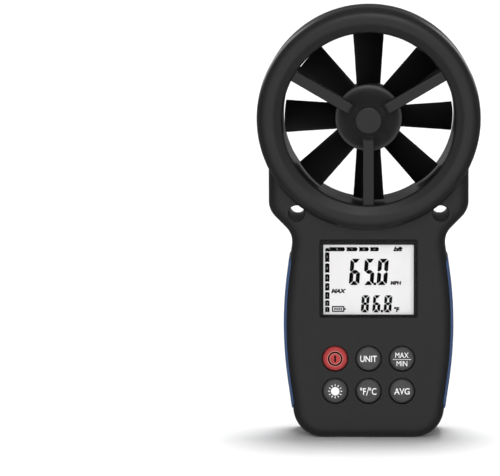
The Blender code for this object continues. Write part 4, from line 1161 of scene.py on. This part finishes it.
def sun_mark():
    """A disc with twelve short rays, for the display's light."""
    bm = form(add_lathe, disc(1.62 * MM, *MARK_Y), z=0.0, steps=48)
    for i in range(12):
        ray = add_box(bm, (-0.15 * MM, 0.15 * MM), MARK_Y, (2.0 * MM, 2.7 * MM))
        bmesh.ops.rotate(bm, matrix=Matrix.Rotation(math.radians(30 * i), 3, "Y"), verts=ray)
    key_mark("backlight", "light", bm)


def slash_mark():
    """The stroke between the two temperature units."""
    lean, half_w, half_h, x = 0.45 * MM, 0.15 * MM, 1.6 * MM, -0.3 * MM
    points = [(x - lean - half_w, -half_h), (x - lean + half_w, -half_h)]
    points += [(x + lean + half_w, half_h), (x + lean - half_w, half_h)]
    key_mark("temp_unit", "slash", form(add_plate, points, *MARK_Y))


def build_keys():
    """Six keys and their printed legends."""
    for name in sum(KEY_NAMES, ()):
        build_key(name)
    power_mark()
    sun_mark()
    key_text("unit", "unit", "UNIT", 2.4 * MM, 0.82)
    key_text("max_min", "max", "MAX", 2.0 * MM, 0.83, dz=1.42 * MM, bold=0.0)
    key_text("max_min", "min", "MIN", 2.0 * MM, 0.83, dz=-1.8 * MM, bold=0.0)
    key_text("temp_unit", "fahrenheit", "°F", 2.75 * MM, 0.76, dx=-2.1 * MM)
    key_text("temp_unit", "celsius", "°C", 2.75 * MM, 0.76, dx=1.6 * MM)
    slash_mark()
    key_text("average", "average", "AVG", 2.45 * MM, 0.88)
    line = form(add_box, (-3.5 * MM, 3.5 * MM), (-0.01 * MM, 0.3 * MM), (-0.27 * MM, -0.12 * MM))
    key_mark("max_min", "max_min_line", line)


# ---------------------------------------------------------------- battery side

def screw_profile(seat, head, radius, tip):
    """Pan head with a rounded edge, on a pointed shank."""
    shank = 1.0 * MM
    profile = [(0.0, tip), (shank / 2, tip), (shank, tip + 0.8 * MM), (shank, seat)]
    profile += [(radius - 0.1 * MM, seat), (radius, seat + 0.1 * MM), (radius, seat + head * 0.4)]
    profile += arc(radius - head * 0.55, seat + head * 0.42, head * 0.55, head * 0.56, 0, 82, 8)
    return profile + [(0.0, seat + head)]


def build_screw(name, node, body, look, head, angle):
    """A screw with a cross recess in its head."""
    low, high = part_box(node)
    spot = (low + high) / 2
    profile = screw_profile(high.y - head, head, (high.x - low.x) / 2, low.y)
    screw = make(name, form(add_lathe, profile, spot.x, spot.z, 40), look, smooth=40)
    for turn in (angle, angle + 90):
        rings = []
        for a, b, y in mm((0.35, 0.12, -0.62), (1.05, 0.2, 0.3)):
            rings.append([(-a, y, -b), (a, y, -b), (a, y, b), (-a, y, b)])
        bm = form(add_loft, rings)
        bmesh.ops.rotate(bm, matrix=Matrix.Rotation(math.radians(turn), 3, "Y"), verts=bm.verts)
        bmesh.ops.translate(bm, vec=(spot.x, high.y, spot.z), verts=bm.verts)
        combine(screw, bm, smooth=40)
    place(screw, body, "steel", node)


def build_screws():
    for where, turn in CASE_SCREWS.items():
        build_screw(f"case_screw_{where}", f"screw_{where}", "meter", DARK_STEEL, 1.4 * MM, turn)
    build_screw("battery_door_screw", "door_screw", "battery_door", STEEL, 0.8 * MM, 33)


def door_plate(bm):
    """Plate whose foot is rounded about the pivot and whose other edges are broken."""
    radius = (DOOR_HI.y - DOOR_LO.y) / 2
    pivot_y, pivot_z = DOOR_HI.y - radius, DOOR_LO.z + radius
    edge = 0.3 * MM
    top = DOOR_HI.z - DOOR_LO.z - radius
    side = arc(0.0, 0.0, radius, radius, 180, 360, 14)
    side += [(radius, top - edge), (radius - edge, top), (edge - radius, top), (-radius, top - edge)]
    left, right = DOOR_LO.x, DOOR_HI.x
    rings = []
    for x, shrink in ((left, edge), (left + edge, 0.0), (right - edge, 0.0), (right, edge)):
        rings.append([(x, pivot_y + y * (1 - shrink / radius), pivot_z + z - (shrink if z > radius else 0.0))
                      for y, z in side])
    add_loft(bm, rings)


def build_door():
    """Battery door with grip ridges, an arrow and a seat for its screw."""
    door = make("battery_door_plate", form(door_plate), CASE)
    bm = bmesh.new()
    for i in range(6):
        z = (22.4 + 3 * i) * MM
        rings = []
        for half_w, low, high, y in mm((8.7, 0.2, 1.0, -0.7), (9.1, -0.1, 1.3, 0.2)):
            shape = round_rect((-half_w, half_w), (z + low, z + high), 0.38 * MM, 5)
            rings.append([(px, BACK_Y + y, pz) for px, pz in shape])
        add_loft(bm, rings)
    spot = middle("door_screw")
    seat_y = BACK_Y - 1.2 * MM
    add_lathe(bm, [(0.0, seat_y), (SCREW_HOLE_R, seat_y), (SCREW_HOLE_R, BACK_Y - 0.3 * MM),
                   (SCREW_HOLE_R + 0.3 * MM, BACK_Y + MM), (0.0, BACK_Y + MM)], spot.x, spot.z, 48)
    arrow = mm((0, 50.5), (-3.2, 46), (-1.2, 46), (-1.2, 43), (1.2, 43), (1.2, 46), (3.2, 46))
    add_plate(bm, arrow, BACK_Y + MM, BACK_Y - 0.45 * MM)
    combine(door, bm)
    cut_rod(door, PIN_HOLE_R, 10 * MM, FAR, (spot.x, spot.z), 32)
    even_normals(door)
    place(door, "battery_door", "case_black", "battery_door")


def build_battery():
    """Nine-volt battery: jacket with crimped ends, a plain band, two terminals."""
    bottom, top = BATTERY_LO.z, 56.0 * MM
    crimp = mm((0.0, 1.2), (0.18, 1.4), (0.18, 1.6), (0.0, 1.8))
    stack = [(0.9 * MM, bottom), (0.35 * MM, bottom), (0.0, bottom + 0.4 * MM)]
    stack += [(inset, bottom + rise) for inset, rise in crimp]
    stack += [(inset, top - rise) for inset, rise in reversed(crimp)]
    stack += [(0.0, top - 0.5 * MM), (0.4 * MM, top), (1.0 * MM, top), (1.3 * MM, top - 0.5 * MM)]
    cell = make("nine_volt_battery", form(pillar, BATTERY_LO, BATTERY_HI, 2.4 * MM, stack), JACKET)
    even_normals(cell)
    place(cell, "meter", "battery_shell", "battery")
    small = mm((0, 0), (2.9, 0), (2.9, 0.9), (2.2, 1.1), (2.2, 2.5), (1.6, 2.6), (1.2, 1.6), (0, 1.6))
    large = mm((0, 0), (3.4, 0), (3.4, 1.2), (3.1, 2.2), (3.4, 2.6), (2.7, 2.6), (2.4, 1.2), (0, 1.2))
    middle_y = (BATTERY_LO.y + BATTERY_HI.y) / 2
    for name, x, profile in (("small", -6.35 * MM, small), ("large", 6.35 * MM, large)):
        bm = form(add_lathe, profile, 0.0, 0.0, 36)
        bmesh.ops.rotate(bm, matrix=Matrix.Rotation(math.radians(90), 3, "X"), verts=bm.verts)
        bmesh.ops.translate(bm, vec=(x, middle_y, top - 0.6 * MM), verts=bm.verts)
        place(make(f"battery_terminal_{name}", bm, STEEL), "meter", "steel")
    low, high, sunk, proud = bottom + 33 * MM, bottom + 36 * MM, 0.3 * MM, -0.04 * MM
    stack = [(sunk, low), (proud, low), (proud, high), (sunk, high)]
    band = form(pillar, BATTERY_LO, BATTERY_HI, 2.4 * MM, stack, caps=False)
    place(make("battery_band", band, WHITE), "meter", "white_plastic")


def build_snap():
    """Battery snap: a soft moulded pad over the terminals."""
    bottom, top = SNAP_LO.z, SNAP_HI.z
    stack = [(0.5 * MM, bottom), (0.0, bottom + 0.5 * MM), (0.0, top - 0.8 * MM)]
    stack += [(0.3 * MM, top - 0.25 * MM), (1.0 * MM, top)]
    snap = make("battery_snap_pad", form(pillar, SNAP_LO, SNAP_HI, 3.5 * MM, stack), SNAP_RUBBER)
    even_normals(snap)
    place(snap, "meter", "silicone", "battery_snap")


# ---------------------------------------------------------------- camera, floor and light

ROOM_LIGHT = 0.16           # light of the room behind and beside the meter
FRONT_LIGHT = 0.95          # and of its wall in front of the meter
LAMP_AIM = (0.0, 0.0, 0.1)


def set_camera():
    """Camera in front of the meter and above its middle, looking slightly down."""
    pitch, yaw, roll = 0.12935, 0.03479, -0.00431
    ahead = Vector((-math.sin(yaw) * math.cos(pitch), math.cos(yaw) * math.cos(pitch), -math.sin(pitch)))
    level = Vector((math.cos(yaw), math.sin(yaw), 0.0))
    upright = level.cross(ahead)
    right = math.cos(roll) * level + math.sin(roll) * upright
    up = -math.sin(roll) * level + math.cos(roll) * upright
    data = bpy.data.cameras.new("camera")
    data.sensor_width = 36.0
    data.lens = 247.3
    data.clip_start = 0.05
    data.clip_end = 50.0
    camera = bpy.data.objects.new("camera", data)
    turn = Matrix((right, up, -ahead)).transposed().to_4x4()
    camera.matrix_world = Matrix.Translation((0.0, -1.3, 0.2453)) @ turn
    bpy.context.scene.collection.objects.link(camera)
    bpy.context.scene.camera = camera


def build_floor():
    """Plain white floor that runs back far enough to have no visible end."""
    bm = bmesh.new()
    bmesh.ops.create_grid(bm, x_segments=1, y_segments=1, size=6.0)
    floor = make("floor", bm)
    floor.location.z = -0.02 * MM
    look = Finish("floor_white", (0.93, 0.93, 0.93), 0.6, specular=0.2)
    look.rough(look.noise(0.3), 0.5, 0.65)
    floor.data.materials.append(look.mat)
    floor.visible_glossy = False


def add_lamp(name, kind, power):
    data = bpy.data.lights.new(name, kind)
    data.energy = power
    lamp = bpy.data.objects.new(name, data)
    bpy.context.scene.collection.objects.link(lamp)
    return lamp


def add_softbox(name, spot, width, height, power):
    """A softbox aimed at the meter; its gleam shows on the gloss only."""
    lamp = add_lamp(name, "AREA", power)
    lamp.data.shape = "RECTANGLE"
    lamp.data.size = width
    lamp.data.size_y = height
    lamp.location = spot
    lamp.rotation_euler = (Vector(LAMP_AIM) - Vector(spot)).to_track_quat("-Z", "Y").to_euler()
    lamp.visible_diffuse = False


def add_sun(name, power, spread, tilt):
    """Even light from a wide disc of sky; it lights matt surfaces and leaves no glint."""
    lamp = add_lamp(name, "SUN", power)
    lamp.data.angle = math.radians(spread)
    lamp.rotation_euler = (math.radians(tilt[0]), math.radians(tilt[1]), 0.0)
    lamp.visible_glossy = False


def set_world():
    """A room that is bright in front and dim elsewhere, and plain white to the camera."""
    world = bpy.data.worlds.new("white_room")
    bpy.context.scene.world = world
    world.use_nodes = True
    nodes, links = world.node_tree.nodes, world.node_tree.links
    direction = nodes.new("ShaderNodeTexCoord")
    split = nodes.new("ShaderNodeSeparateXYZ")
    links.new(direction.outputs["Generated"], split.inputs["Vector"])
    front = fill(nodes.new("ShaderNodeMapRange"),
                 {"From Min": -0.25, "From Max": -0.9, "To Min": ROOM_LIGHT, "To Max": FRONT_LIGHT})
    front.interpolation_type = "SMOOTHSTEP"
    links.new(split.outputs["Y"], front.inputs["Value"])
    white = (1.0, 1.0, 1.0, 1.0)
    room = fill(nodes["Background"], {"Color": white})
    links.new(front.outputs["Result"], room.inputs["Strength"])
    backdrop = fill(nodes.new("ShaderNodeBackground"), {"Color": white, "Strength": 1.0})
    ray = nodes.new("ShaderNodeLightPath")
    mix = nodes.new("ShaderNodeMixShader")
    links.new(ray.outputs["Is Camera Ray"], mix.inputs["Fac"])
    links.new(room.outputs["Background"], mix.inputs[1])
    links.new(backdrop.outputs["Background"], mix.inputs[2])
    links.new(mix.outputs["Shader"], nodes["World Output"].inputs["Surface"])


def set_light():
    """Suns from above and from the front for the matt surfaces, softboxes for the gloss."""
    add_sun("overhead", 2.95, 20, (-6, 2))
    add_sun("fill", 1.5, 60, (78, -6))
    add_softbox("softbox_high", (0.1, -0.9, 1.1), 0.9, 0.7, 3.6)
    add_softbox("softbox_back_left", (-0.8, 1.1, 0.65), 0.5, 0.8, 4.0)
    add_softbox("softbox_back_right", (0.8, 1.1, 0.65), 0.5, 0.8, 4.0)
    bpy.context.scene.view_settings.view_transform = "Standard"


# ---------------------------------------------------------------- all of it

dress_cad_nodes()
set_camera()
build_floor()
set_world()
set_light()
build_front_case()
build_rear_case()
build_grips()
build_vane_ring_front()
build_nose_cap()
build_vane_ring_rear()
build_rotor()
build_window()
build_screen_art()
build_keys()
build_screws()
build_door()
build_battery()
build_snap()
